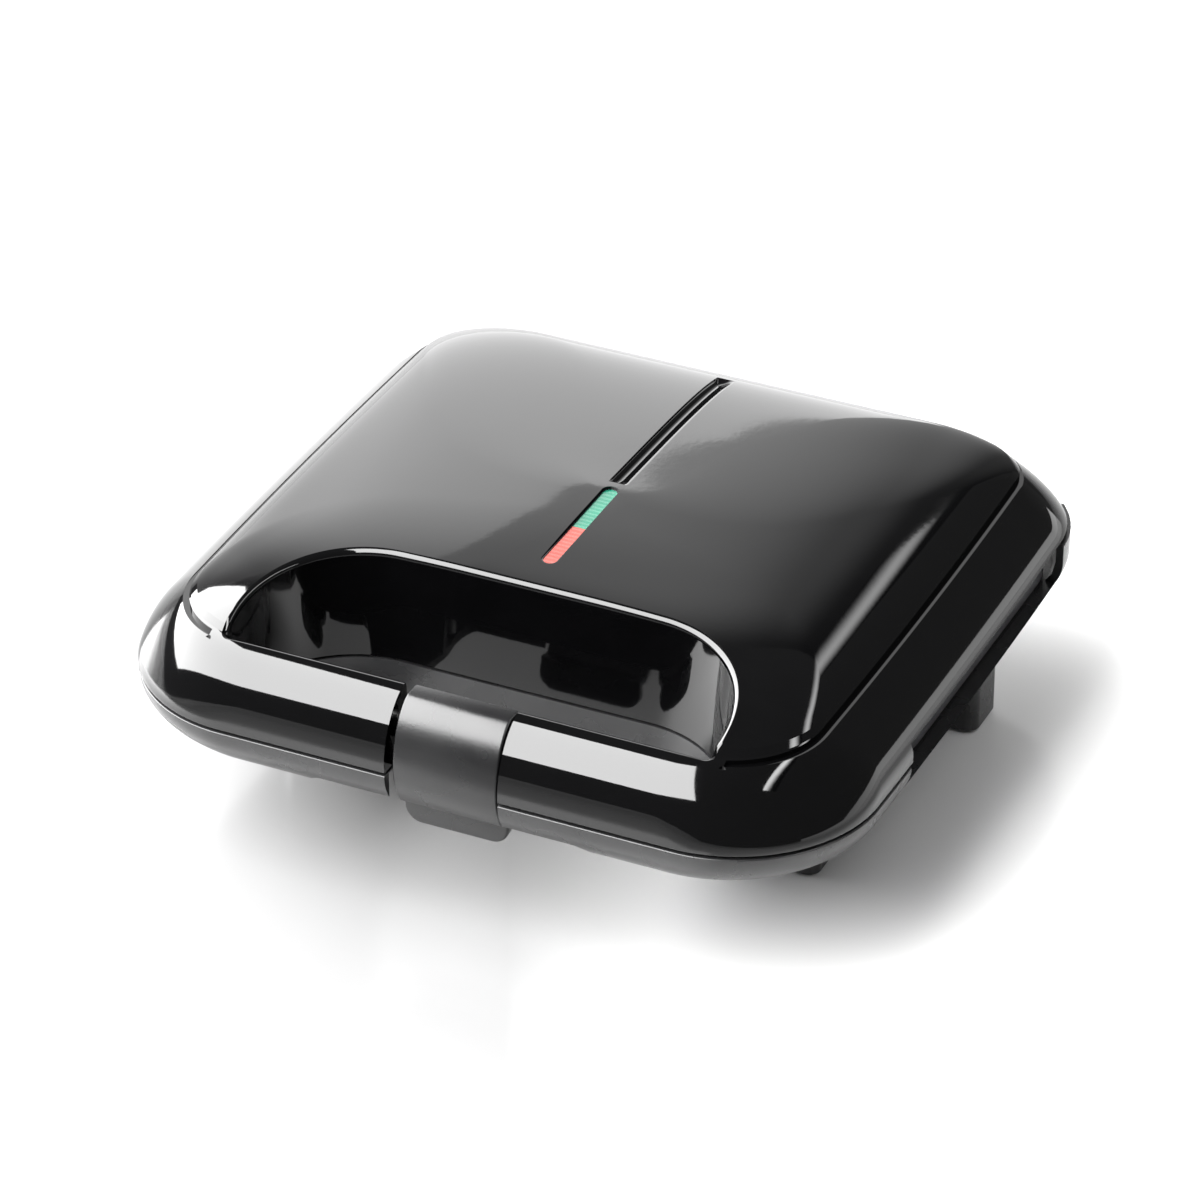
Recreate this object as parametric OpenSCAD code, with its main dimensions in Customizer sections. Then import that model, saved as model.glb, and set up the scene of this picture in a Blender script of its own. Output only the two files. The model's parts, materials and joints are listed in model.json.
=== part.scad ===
// Donut maker: a clamshell baker with a crowned, hinged lid, two six-ring die plates,
// a front latch in the split handle and four feet. Millimetres, +Z up, the table at z = 0,
// the front towards -Y. Most positions are measured from the middle of the seam outline.

/* [Housing] */
// Width over the bowed sides
body_w = 236; // [230:1:250]
// Depth of the seam between lid and base
body_d = 226; // [222:1:236]
// How far each long side bows out
side_bow = 1.8; // [0.6:0.1:3]
// Height of the seam above the table
seam_z = 48; // [47:0.5:56]
// Gap between the front edges of lid and base
seam_gap = 1; // [0.6:0.1:1.6]
// Wall thickness of the moulded covers
wall = 2.4; // [2:0.1:2.8]
// Plain upright skirt of the lid below its rolled rim
skirt_h = 2.5; // [2:0.1:4]
// Height of the lid's rolled rim
rim_h = 20.6; // [19:0.1:24]
// Step from the rim up to the crown
step_h = 1.6; // [1:0.1:2.4]
// Rise of the crown above its step
crown_h = 12.1; // [11:0.1:16]
// How far the base's rear corners stand out behind the lid
rear_pod = 3; // [2:0.1:5]
// Depth of the tub under the seam
tub_h = 35; // [34:0.5:40]

/* [Side windows] */
// How far behind the plates' front edge the windows start
window_in_front = 5; // [3:1:15]
// How far before the plates' rear edge the windows end
window_in_back = 21; // [17:1:35]
// How far the lid's edge is raised over the windows
window_up = 7; // [6:0.1:8]
// How far the base's edge drops under the windows
window_down = 8; // [7.6:0.1:9]

/* [Finger opening] */
// Half width of the opening at the top of the lid
finger_hw = 78; // [70:0.5:82]
// Distance of its straight edge from the front of the seam
finger_front = 15; // [14:0.1:17]
// Distance of its far edge from the front of the seam
finger_back = 59.3; // [56:0.1:59.5]
// Radius of its far corners
finger_r = 35; // [25:1:38]
// Thickness of the wall around it
finger_wall = 2.2; // [1.8:0.1:2.4]
// How much narrower each side is at the seam
finger_draft = 2.8; // [1:0.1:4]
// Half width of the hole through the floor of the base
finger_floor_hw = 46; // [40:1:60]

/* [Lid trim] */
// Width of the groove between rim and crown
groove_w = 2; // [1.4:0.1:2.4]
// Depth of the groove
groove_depth = 1.2; // [0.6:0.1:1.4]
// How far beside the finger opening the groove ends
groove_past = 4; // [2:0.5:8]
// Width of the indicator window
pill_w = 5.4; // [5:0.1:7]
// Length of the indicator window
pill_l = 47; // [40:1:52]
// Distance of the window's front end from the finger opening
pill_gap = 11.7; // [9.7:0.5:13.7]
// Frame of the window around its lenses
bezel_t = 0.5; // [0.4:0.1:0.8]
// Width of the channel behind the window
channel_w = 6.1; // [5:0.1:8]
// Depth of the channel
channel_depth = 0.9; // [0.5:0.1:1.2]

/* [Die plates] */
// Distance of a plate's sides from the sides of the seam
plate_side = 7; // [6.5:0.5:9]
// Distance of its front edge from the finger opening
plate_gap_front = 4.7; // [3.7:0.5:5.7]
// Distance of its rear edge from the rear of the seam
plate_rear = 14; // [13:0.5:15]
// Corner radius of a plate
plate_r = 26; // [24:1:27]
// Height of a plate's upright edge
plate_h = 7.2; // [6.5:0.1:7.4]
// Thickness of a plate's deck
deck_t = 2.5; // [2:0.1:3]
// Gap between the two closed plates
plate_gap = 0.6; // [0.4:0.1:1]
// Spacing of the rings
ring_pitch = 68; // [68:0.5:70]
// Radius of a ring, to the middle of its dough
ring_r = 18.5; // [17:0.1:19]
// Half width of the dough
dough_r = 10.5; // [9.5:0.1:10.6]
// Height of the sealing bead around each ring
bead_h = 0.8; // [0.5:0.1:1]

/* [Hinge] */
// Distance of the hinge axis from the rear of the seam
hinge_in = 4; // [2:0.5:4]
// Height of the hinge axis over the seam
hinge_up = 1.5; // [1:0.1:2]
// Radius of the hinge barrels
barrel_r = 5; // [4.5:0.1:5]
// Half width of the lid's barrel
barrel_hw = 45; // [30:1:60]
// Width of each lug on the base
lug_w = 12; // [8:1:20]
// Radius of the hinge pins
hinge_pin_r = 2; // [1.5:0.1:2.4]

/* [Latch] */
// Width of the latch
latch_w = 33.4; // [28:0.1:36]
// Half width of the slot that it sits in
slot_hw = 18.1; // [18:0.1:20]
// Distance of the latch from the slot's middle
latch_shift = 0.6; // [0:0.1:0.8]
// Thickness of the latch's shell
latch_t = 2.6; // [2:0.1:2.8]
// Radius of the latch pin
latch_pin_r = 1.5; // [1.2:0.1:1.8]
// Length of the thumb tab below the latch
tab_h = 8.5; // [6:0.5:10]

/* [Legs] */
// Width of a leg
leg_w = 17; // [14:1:18]
// Depth of a leg
leg_d = 19; // [14:1:20]
// Distance of the rear legs' outer side from the side of the seam
rear_leg_side = 15; // [15:0.5:18]
// Distance of the rear legs' back from the rear of the seam
rear_leg_back = 49; // [43:1:57]
// Distance of the front legs' outer side from the side of the seam
front_leg_side = 29; // [22:0.5:32]
// Distance of the front legs' front from the front of the seam
front_leg_front = 67; // [67:1:73]
// How far a rubber pad stands out of its leg
pad_out = 1.2; // [0.8:0.1:2]

/* [Cord inlet] */
// Radius of the hole for the cord
inlet_r = 4.2; // [3.5:0.1:4.6]
// Height of the cord inlet over the tub's floor
inlet_up = 9; // [8:0.1:10]

/* [Clearances] */
// Radial running clearance of the pins
pin_play = 0.06; // [0.03:0.01:0.1]
// Gap between pieces that are seated but not fitted
seat_gap = 0.3; // [0.2:0.05:0.4]

/* [Hidden] */
$fn = 48;

// Middle of the seam outline to the middle of the whole footprint
shift_y = -rear_pod / 2;
front_y = -body_d / 2;
back_y = body_d / 2;
half_w = body_w / 2;
hinge_y = back_y - hinge_in;
finger_y0 = front_y + finger_front;
finger_y1 = front_y + finger_back;

// Heights
lid_z = seam_z + seam_gap / 2;
base_z = seam_z - seam_gap / 2;
rim_z = lid_z + skirt_h;
rim_top = rim_z + rim_h;
crown_z = rim_top + step_h;
crown_top = crown_z + crown_h;
groove_end = finger_hw + groove_past;
floor_z = seam_z - tub_h;
band_h = 15.7;
tub_top = base_z - band_h - 1.3;
lid_edge = seam_z + window_up;
base_edge = seam_z - window_down;
pod_top = lid_edge - 1.5;
hinge_z = seam_z + hinge_up;
swing_r = norm([back_y - hinge_y, lid_edge - hinge_z]) + 0.5;
big = 400;

// A row is a height, insets from the seam outline at the side, front and back, then the
// radii of the front and back corners. The curves below have such rows as control points.
rim_side = 16.7;
rim_back = 15.3;
rim_rows = [
    [rim_z, 0, 0, 0, 44, 37],
    [rim_z + 0.44 * rim_h, 0, 0, 0, 56, 46],
    [rim_z + 0.92 * rim_h, rim_side - 2.2, 6.5, rim_back - 2.3, 34, 25],
    [rim_top, rim_side, finger_front, rim_back, 29, 19]
];
apex_front = 100;
crown_rows = [
    [crown_z, rim_side + 1.3, finger_front + 2, rim_back + 0.7, 28, 20],
    [crown_z + 0.975 * crown_h, 30, 42, 16, 36, 50],
    [crown_z + 0.83 * crown_h, 65, 56, 85, 46, 45],
    [crown_top, 79, 68, 103, 19, 6],
    [crown_top, half_w - 4, apex_front, body_d - apex_front - 14, 4, 4]
];
band_rows = [
    [base_z - band_h, 16, 16, 13 - rear_pod, 34, 20],
    [base_z - 14.5, 5.6, 5.6, 5.6 - rear_pod, 44, 24],
    [base_z - 7, 0, 0, -rear_pod, 44, 26],
    [base_z, 0, 0, -rear_pod, 44, 26]
];
tub_rows = [
    [floor_z, 36, 72, 28, 16, 16],
    [floor_z + 0.8, 32.5, 68.5, 24.5, 18, 18],
    [floor_z + 3, 30, 66.5, 22, 20, 20],
    [tub_top, 21, 62.5, 15, 25, 22]
];

// Plates
plate_mid = lid_z;
lower_face = plate_mid - plate_gap / 2;
upper_face = plate_mid + plate_gap / 2;
plate_w = body_w - 2 * plate_side;
plate_front = finger_y1 + plate_gap_front;
plate_back = back_y - plate_rear;
plate_d = plate_back - plate_front;
plate_y = (plate_front + plate_back) / 2;
plate_edge = 2.5;
ring_x = [-ring_pitch, 0, ring_pitch];
ring_y = [plate_y - ring_pitch / 2, plate_y + ring_pitch / 2];
bead_w = 1.6;
deck_back = bead_h + deck_t;
bulge_r = dough_r + deck_t;
shield_drop = 18.2;
shield_t = 1;
shield_in = 23;
shield_w = plate_w - 2 * shield_in;
shield_front = plate_front + 6;
shield_back = plate_back - 14;
sensor_drop = bulge_r - 1.5;
boss_r = 4;
screw_r = 1.75;
corner_boss_r = 4.5;
corner_in = 12.5;
corner_x = plate_w / 2 - corner_in;
corner_y = [plate_front + corner_in, plate_back - corner_in];

// Heaters
heater_r = 3.25;
heater_drop = deck_back + heater_r + 0.1;
heater_x = ring_pitch / 2;
heater_front = (plate_front + plate_edge + ring_y[0] - ring_r - dough_r) / 2 - 0.4;
heater_bend = 8;
heater_end = plate_back - 14;
heater_pin_r = 1.2;
heater_pin_end = plate_back - 7;
wire_r = 1.1;
wire_y = heater_pin_end - 3;

// Liners
liner_t = 1.8;
liner_back = finger_y1 + 1.7;
liner_screws = [[48, front_y + 7.6], [half_w - 28, front_y + 41]];

// Latch and its pin
latch_y = front_y + 10.5;
latch_z = lid_z + 14;
latch_boss_r = 3.2;
cheek_up = 2.8;
latch_curve = [
    [[front_y + 11.5, lid_z + 21.5], [front_y + 6.5, lid_z + 20], [front_y + 1, lid_z + 11.5],
        [front_y + 1, lid_z + 1.5]],
    [[front_y + 1, lid_z + 1.5], [front_y + 1, lid_z - 3.5], [front_y + 3, lid_z - 8],
        [front_y + 5, lid_z - 11.7]]
];
latch_top = latch_curve[0][0][1];
latch_foot = latch_curve[1][3][1];
latch_rear = front_y + 16.7;
web_front = front_y + 5.5;
web_top = lid_z + 10;
keeper_y = front_y + 11.4;
tab_back = keeper_y - 0.7;
tab_t = 2.5;
tab_w = latch_w - 2.6;
shell_back = front_y + 6.6;

// Windows and legs
window_front = plate_front + window_in_front;
window_back = plate_back - window_in_back;
rear_leg_x = half_w - rear_leg_side;
rear_leg_y = back_y - rear_leg_back;
front_leg_x = half_w - front_leg_side;
front_leg_y = front_y + front_leg_front;

// Indicator
pill_front = finger_y1 + pill_gap;
pill_back = pill_front + pill_l;
lens_split = pill_front + pill_l * 0.48;
lens_top = crown_top - 1.1;
lens_h = 4.2;
lens_play = 0.05;
lamp_r = 3;
lamp_l = 14;
holder_hw = 5.5;
holder_t = 1.2;
holder_h = 9.5;
holder_z = lens_top - lens_h - holder_h;
holder_y = (pill_front + pill_back) / 2;

// Cord inlet, clamp and terminal block
bar_floor = base_z - 13.1;
inlet_z = floor_z + inlet_up;
inlet_back = back_y - 14.5;
inlet_l = 8.5;
clamp_w = 6;
clamp_y = inlet_back - inlet_l - clamp_w / 2;
clamp_x = 10;
clamp_bite = 0.2;
block_y = clamp_y - 19;
block_hw = 15;
block_h = 11;
block_z = floor_z + wall + 1;

// ---- curves and outlines

// Point at t on the curve with the control points c
function bez(c, t) = len(c) == 1
    ? c[0]
    : bez([for (i = [0 : len(c) - 2]) (1 - t) * c[i] + t * c[i + 1]], t);

// n + 1 points of an arc from the angle a0 to a1
function arc(centre, r, a0, a1, n) =
    [for (i = [0 : n]) centre + r * [cos(a0 + (a1 - a0) * i / n), sin(a0 + (a1 - a0) * i / n)]];

// n points between the heights y0 and y1 of the line x, without its ends
function between(x, y0, y1, n) = [for (i = [1 : n]) [x, y0 + (y1 - y0) * i / (n + 1)]];

// The seam outline set in by a row, its long sides bowed, n segments to a corner
function outline(row, n) =
    let (
        a = half_w - side_bow - row[1],
        y0 = front_y + row[2],
        y1 = back_y - row[3],
        rf = min(row[4], a, (y1 - y0) / 2 - 0.5),
        rb = min(row[5], a, (y1 - y0) / 2 - 0.5),
        m = floor(n / 4),
        ym = (y0 + y1) / 2,
        loop = concat(
            arc([a - rb, y1 - rb], rb, 0, 90, n),
            arc([rb - a, y1 - rb], rb, 90, 180, n),
            between(-a, y1 - rb, ym, m),
            [[-a, ym]],
            between(-a, ym, y0 + rf, m),
            arc([rf - a, y0 + rf], rf, 180, 270, n),
            arc([a - rf, y0 + rf], rf, 270, 360, n),
            between(a, y0 + rf, ym, m),
            [[a, ym]],
            between(a, ym, y1 - rb, m)
        )
    )
    [for (p = loop)
        let (v = (2 * p[1] - y0 - y1) / (y1 - y0))
        [p[0] * (1 + side_bow * (1 - v * v) / a), p[1]]];

// A row set in by the wall and moved down by the share f of it
function inner_row(row, f) =
    [row[0] - wall * f, row[1] + wall, row[2] + wall, row[3] + wall,
        max(row[4] - wall, 2), max(row[5] - wall, 2)];

function rings(rows, n) = [for (r = rows) [for (p = outline(r, n)) [p[0], p[1], r[0]]]];

// Closed solid through a stack of equal rings, the lowest first
module skin(stack) {
    m = len(stack[0]);
    last = len(stack) - 1;
    polyhedron(
        points = [for (r = stack) each r],
        faces = concat(
            [[for (i = [0 : m - 1]) i]],
            [for (k = [0 : last - 1], i = [0 : m - 1])
                each let (a = k * m, b = a + m, j = (i + 1) % m)
                    [[a + i, b + i, b + j], [a + i, b + j, a + j]]],
            [[for (i = [m - 1 : -1 : 0]) last * m + i]]
        )
    );
}

// The finger opening's outline at the height z, grown by g
function finger_ring(z, g) =
    let (
        k = (crown_top - z) / (crown_top - lid_z),
        hw = finger_hw - finger_draft * k + g,
        y0 = finger_y0 + 1.2 * k - g,
        y1 = finger_y1 - finger_draft * k + g,
        r = finger_r + g
    )
    [for (p = concat(
            [[-hw, y0], [hw, y0]],
            arc([hw - r, y1 - r], r, 0, 90, 8),
            arc([r - hw, y1 - r], r, 90, 180, 8)))
        [p[0], p[1], z]];

module finger_well(z0, z1, g) {
    skin([finger_ring(z0, g), finger_ring(z1, g)]);
}

// ---- small helpers

module rounded(w, d, r) {
    square([w - 2 * r, d], center = true);
    square([w, d - 2 * r], center = true);
    for (x = [r - w / 2, w / 2 - r], y = [r - d / 2, d / 2 - r])
        translate([x, y])
            circle(r);
}

// Slot with round ends, lying along X
module slot(l, w) {
    square([l - w, w], center = true);
    for (x = [w / 2 - l / 2, l / 2 - w / 2])
        translate([x, 0])
            circle(w / 2);
}

// Extrudes a (y, z) outline along X, centred
module along_x(w) {
    rotate([90, 0, 90])
        translate([0, 0, -w / 2])
            linear_extrude(w)
                children();
}

// Extrudes an (x, z) outline along Y, centred
module along_y(w) {
    rotate([90, 0, 0])
        translate([0, 0, -w / 2])
            linear_extrude(w)
                children();
}

// A block from its low corner to its high corner
module block(a, b) {
    translate(a)
        cube(b - a);
}

module both_sides() {
    children();
    mirror([1, 0, 0])
        children();
}

// Rod from p to q along one axis, with round ends
module rod(p, q, r) {
    d = q - p;
    translate(p) {
        sphere(r);
        rotate(d[0] != 0 ? [0, 90 * sign(d[0]), 0] : d[1] != 0 ? [-90 * sign(d[1]), 0, 0] :
                d[2] < 0 ? [180, 0, 0] : [0, 0, 0])
            cylinder(r = r, h = norm(d));
    }
    translate(q)
        sphere(r);
}

module wire(points) {
    for (i = [0 : len(points) - 2])
        rod(points[i], points[i + 1], wire_r);
}

// Screw pointing down, its head's top at z = 0
module screw(l, r = screw_r, head_r = 3.2, head_h = 1.6) {
    translate([0, 0, -l])
        cylinder(r = r, h = l - head_h / 2);
    difference() {
        translate([0, 0, -head_h])
            cylinder(r = head_r, h = head_h);
        for (a = [0, 90])
            rotate(a)
                block([-head_r * 0.6, -0.35, -0.8], [head_r * 0.6, 0.35, 1]);
    }
}

module at_corners() {
    for (x = [-corner_x, corner_x], y = corner_y)
        translate([x, y, 0])
            children();
}

module at_liner_screws() {
    both_sides()
        for (p = liner_screws)
            translate(p)
                children();
}

module at_outer_rings() {
    for (x = [-ring_pitch, ring_pitch], y = ring_y)
        translate([x, y, 0])
            children();
}

// ---- lid cover

lid_rows = concat(
    [[lid_z, 0, 0, 0, 44, 37]],
    [for (i = [0 : 7]) bez(rim_rows, i / 7)],
    [for (i = [0 : 9]) bez(crown_rows, i / 10)]
);

lid_hollow_rows = concat(
    [inner_row([lid_z - 1, 0, 0, 0, 44, 37], 0)],
    [for (i = [0 : 4]) inner_row(bez(rim_rows, i / 4), i / 4)],
    [for (i = [0 : 4]) inner_row(bez(crown_rows, i / 5), 1)]
);

// Ledge inside a cover, around the plate's opening
module ledge(z0, z1) {
    difference() {
        block([-half_w, finger_y1 - 2, z0], [half_w, back_y + rear_pod, z1]);
        translate([0, plate_y, z0 - 1])
            linear_extrude(z1 - z0 + 2)
                rounded(plate_w - 2 * plate_edge, plate_d - 2 * plate_edge, plate_r - plate_edge);
    }
}

module lid_hollow() {
    difference() {
        skin(rings(lid_hollow_rows, 6));
        finger_well(lid_z - 3, crown_top + 2, finger_wall);
        block([-slot_hw - wall, front_y - 1, lid_z - 2], [slot_hw + wall, finger_y0 + 2, crown_z]);
        ledge(lid_edge + 2, lid_edge + 4);
        at_corners()
            translate([0, 0, upper_face + plate_h])
                cylinder(r = corner_boss_r, h = crown_h + rim_h);
        at_liner_screws()
            translate([0, 0, lid_z + liner_t])
                cylinder(r = 3.5, h = crown_h + rim_h);
        both_sides()
            translate([holder_hw + 4, holder_y, holder_z + 6])
                cylinder(r = 3.2, h = crown_h);
    }
}

module groove() {
    side = rim_side - 1.9;
    front = finger_front - 2.6;
    back = rim_back - 2.2;
    translate([0, 0, rim_top - 0.4 - groove_depth])
        linear_extrude(step_h + groove_depth + 3)
            difference() {
                polygon(outline([0, side, front, back, 30, 19], 10));
                polygon(outline([0, side + groove_w, front + groove_w, back + groove_w,
                    30 - groove_w, 19 - groove_w], 10));
                translate([-groove_end, front_y])
                    square([2 * groove_end, 40]);
            }
    both_sides()
        translate([groove_end, front_y + front + groove_w / 2, rim_top - 0.4 - groove_depth])
            cylinder(r = groove_w / 2, h = 4);
}

module pill(w, y0, y1) {
    translate([-w / 2, y0 + w / 2])
        square([w, y1 - y0 - w]);
    for (y = [y0 + w / 2, y1 - w / 2])
        translate([0, y])
            circle(w / 2);
}

// Shallow channel that follows the crown behind the indicator
module channel() {
    line = [for (i = [0 : 12]) let (r = bez(crown_rows, 0.1 + i / 15)) [back_y - r[3], r[0]]];
    along_x(channel_w)
        intersection() {
            polygon(concat(
                [for (p = line) [p[0], p[1] - channel_depth]],
                [[line[12][0], crown_top + 5], [line[0][0], crown_top + 5]]));
            translate([pill_back + 2.5, 0])
                square([back_y - 25 - pill_back - 2.5, crown_top + 10]);
        }
}

module latch_slot() {
    block([-slot_hw, front_y - 2, web_top], [slot_hw, finger_y0 + 3, crown_top]);
    block([-slot_hw, front_y - 2, lid_z - 2], [slot_hw, web_front, web_top + 1]);
}

module lid_barrel() {
    translate([-barrel_hw, hinge_y, hinge_z])
        rotate([0, 90, 0])
            cylinder(r = barrel_r, h = 2 * barrel_hw);
    block([-barrel_hw, hinge_y - 1, hinge_z], [barrel_hw, back_y, lid_edge + 3]);
}

module lid_cover() {
    color("#1a1a1c")
        difference() {
            union() {
                difference() {
                    skin(rings(lid_rows, 10));
                    lid_hollow();
                    block([-big, window_front, 0], [big, big, lid_edge]);
                }
                lid_barrel();
            }
            finger_well(lid_z - 2, crown_top + 1, 0);
            latch_slot();
            groove();
            channel();
            translate([0, 0, crown_z])
                linear_extrude(crown_h + 1)
                    pill(pill_w, pill_front, pill_back);
            both_sides()
                translate([barrel_hw - 10, hinge_y, hinge_z])
                    rotate([0, 90, 0])
                        cylinder(r = hinge_pin_r + pin_play, h = 11);
            translate([-slot_hw - wall - 1, latch_y, latch_z])
                rotate([0, 90, 0])
                    cylinder(r = latch_pin_r, h = 2 * (slot_hw + wall + 1));
            at_corners()
                translate([0, 0, upper_face + plate_h - 1])
                    cylinder(r = screw_r, h = 9);
            at_liner_screws()
                translate([0, 0, lid_z])
                    cylinder(r = screw_r, h = 10);
            both_sides()
                translate([holder_hw + 4, holder_y, holder_z + 5])
                    cylinder(r = 1.25, h = 6);
        }
}

// ---- base cover

base_rows = concat(
    tub_rows,
    [for (i = [0 : 6]) bez(band_rows, i / 6)],
    [[pod_top, 0, 0, -rear_pod, 44, 26]]
);

base_hollow_rows = concat(
    [inner_row(tub_rows[0], -1), inner_row(tub_rows[2], -0.3), inner_row(tub_rows[3], -1)],
    [for (i = [0 : 4]) inner_row(bez(band_rows, i / 4), i / 4 - 1)],
    [inner_row([pod_top + 1, 0, 0, -rear_pod, 44, 26], 0)]
);

module legs() {
    for (p = [[rear_leg_x, rear_leg_y - leg_d], [front_leg_x, front_leg_y]])
        both_sides()
            translate([p[0] - leg_w / 2, p[1] + leg_d / 2, pad_out])
                linear_extrude(tub_top + 2.5 - pad_out)
                    rounded(leg_w, leg_d, 4);
}

module base_hollow() {
    difference() {
        skin(rings(base_hollow_rows, 6));
        finger_well(0, base_z + 2, finger_wall);
        block([-slot_hw - wall, front_y - 1, 0], [slot_hw + wall, finger_y0 + 3, base_z]);
        block([1 - finger_floor_hw, front_y, 0], [finger_floor_hw - 1, finger_y0, bar_floor + wall]);
        ledge(base_edge - 2, base_edge);
        at_corners()
            cylinder(r = corner_boss_r, h = lower_face - plate_h);
        at_liner_screws()
            cylinder(r = 3.5, h = base_z - liner_t);
        both_sides()
            translate([clamp_x, clamp_y, 0])
                cylinder(r = 3, h = inlet_z - 0.5);
        inlet_tube(inlet_r + 2.5);
        block([-block_hw, block_y - 8, 0], [block_hw, block_y + 8, block_z]);
    }
}

module inlet_tube(r, past = 0) {
    translate([0, inlet_back - inlet_l - past, inlet_z])
        rotate([-90, 0, 0])
            cylinder(r = r, h = inlet_l + 2 * past);
}

// Room for the lid's rear edge to swing down behind the hinge axis
module hinge_recess() {
    translate([-big, hinge_y, hinge_z])
        rotate([0, 90, 0])
            cylinder(r = swing_r, h = 2 * big);
    block([-big, hinge_y - swing_r, hinge_z], [big, big, big]);
    block([-big, hinge_y, hinge_z - swing_r], [big, big, big]);
}

module base_lug() {
    block([barrel_hw + 1, hinge_y - barrel_r, hinge_z - swing_r - 4],
        [barrel_hw + 1 + lug_w, hinge_y + 3.5, hinge_z]);
    translate([barrel_hw + 1, hinge_y, hinge_z])
        rotate([0, 90, 0])
            cylinder(r = barrel_r, h = lug_w);
}

// Hole through the floor of the base, under the finger opening
module floor_hole() {
    y0 = finger_ring(bar_floor, 0)[0][1];
    y1 = max([for (p = finger_ring(bar_floor, 0)) p[1]]);
    r = 6;
    translate([0, (y0 + y1) / 2, 0])
        linear_extrude(base_z)
            difference() {
                rounded(2 * finger_floor_hw, y1 - y0, r);
                translate([-half_w, (y0 - y1) / 2 - 1])
                    square([body_w, 1]);
            }
    translate([0, y0 + r / 2, 0])
        linear_extrude(base_z)
            square([2 * finger_floor_hw, r], center = true);
}

module floor_vents() {
    for (i = [-3 : 3])
        both_sides()
            translate([44, 20 + i * 9, floor_z - 1])
                linear_extrude(wall + 2)
                    slot(34, 3.2);
}

module base_cover() {
    color("#2a2a2d")
        difference() {
            union() {
                difference() {
                    union() {
                        skin(rings(base_rows, 10));
                        legs();
                        inlet_tube(inlet_r + 2.5);
                    }
                    base_hollow();
                    block([-big, -big, base_z], [big, window_front, big]);
                    block([-big, window_front - 1, base_edge], [big, window_back, big]);
                    hinge_recess();
                }
                both_sides()
                    base_lug();
            }
            finger_well(bar_floor, base_z + 1, 0);
            floor_hole();
            block([1 - finger_floor_hw, front_y - 1, 0],
                [finger_floor_hw - 1, finger_y0 + 1, bar_floor]);
            block([-slot_hw, front_y - 1, 0], [slot_hw, keeper_y, base_z + 1]);
            both_sides()
                translate([barrel_hw, hinge_y, hinge_z])
                    rotate([0, 90, 0])
                        cylinder(r = hinge_pin_r, h = lug_w + 2);
            inlet_tube(inlet_r, 1);
            at_corners()
                translate([0, 0, base_edge - 5])
                    cylinder(r = screw_r, h = 8);
            at_liner_screws()
                translate([0, 0, base_z - 10])
                    cylinder(r = screw_r, h = 11);
            both_sides()
                translate([clamp_x, clamp_y, floor_z + wall])
                    cylinder(r = 1.25, h = inlet_up);
            feet(rear_leg_x, rear_leg_y - leg_d / 2);
            feet(front_leg_x, front_leg_y + leg_d / 2);
            floor_vents();
        }
}

// ---- rubber feet

pad_in = 3;
pad_r = 5.5;

module feet(x, y) {
    both_sides()
        translate([x - leg_w / 2, y, 0])
            cylinder(r = pad_r, h = pad_out + pad_in);
}

module front_feet() {
    color("#161616")
        feet(front_leg_x, front_leg_y + leg_d / 2);
}

module rear_feet() {
    color("#161616")
        feet(rear_leg_x, rear_leg_y - leg_d / 2);
}

// ---- die plates, drawn with the working face at z = 0 and the back below

module die_plate() {
    difference() {
        union() {
            translate([0, plate_y, -plate_h])
                linear_extrude(plate_h)
                    difference() {
                        rounded(plate_w, plate_d, plate_r);
                        rounded(plate_w - 2 * plate_edge, plate_d - 2 * plate_edge,
                            plate_r - plate_edge);
                    }
            translate([0, plate_y, -deck_back])
                linear_extrude(deck_t)
                    rounded(plate_w - 2, plate_d - 2, plate_r - 1);
            for (x = ring_x, y = ring_y)
                translate([x, y, 0]) {
                    translate([0, 0, -deck_back])
                        cylinder(r = ring_r + dough_r + bead_w, h = deck_back);
                    rotate_extrude()
                        translate([ring_r, 0])
                            circle(bulge_r);
                }
            at_outer_rings()
                translate([0, 0, -shield_drop])
                    cylinder(r = boss_r, h = shield_drop - 1);
            for (y = ring_y)
                translate([0, y, -sensor_drop])
                    cylinder(r = boss_r, h = sensor_drop - 1);
            at_corners()
                translate([0, 0, -plate_h])
                    cylinder(r = corner_boss_r, h = plate_h - bead_h);
        }
        block([-big, -big, 0], [big, big, big]);
        for (x = ring_x, y = ring_y)
            translate([x, y, 0])
                rotate_extrude()
                    translate([ring_r, 0])
                        circle(dough_r);
        at_corners() {
            translate([0, 0, -plate_h - 1])
                cylinder(r = screw_r, h = plate_h);
            translate([0, 0, -bead_h - 2])
                cylinder(r = 3.4, h = 5);
        }
        at_outer_rings()
            translate([0, 0, -shield_drop - 1])
                cylinder(r = 1.25, h = 9);
    }
}

// Sheathed U-shaped element, seen from the face side of its plate
module heater() {
    z = -heater_drop;
    both_sides() {
        translate([heater_x, heater_front + heater_bend, z])
            rotate([-90, 0, 0]) {
                cylinder(r = heater_r, h = heater_end - heater_front - heater_bend);
                cylinder(r = heater_pin_r, h = heater_pin_end - heater_front - heater_bend);
            }
        translate([heater_x - heater_bend, heater_front + heater_bend, z])
            rotate([0, 0, -90])
                rotate_extrude(angle = 90)
                    translate([heater_bend, 0])
                        circle(heater_r);
    }
    translate([heater_bend - heater_x, heater_front, z])
        rotate([0, 90, 0])
            cylinder(r = heater_r, h = 2 * (heater_x - heater_bend));
}

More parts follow.
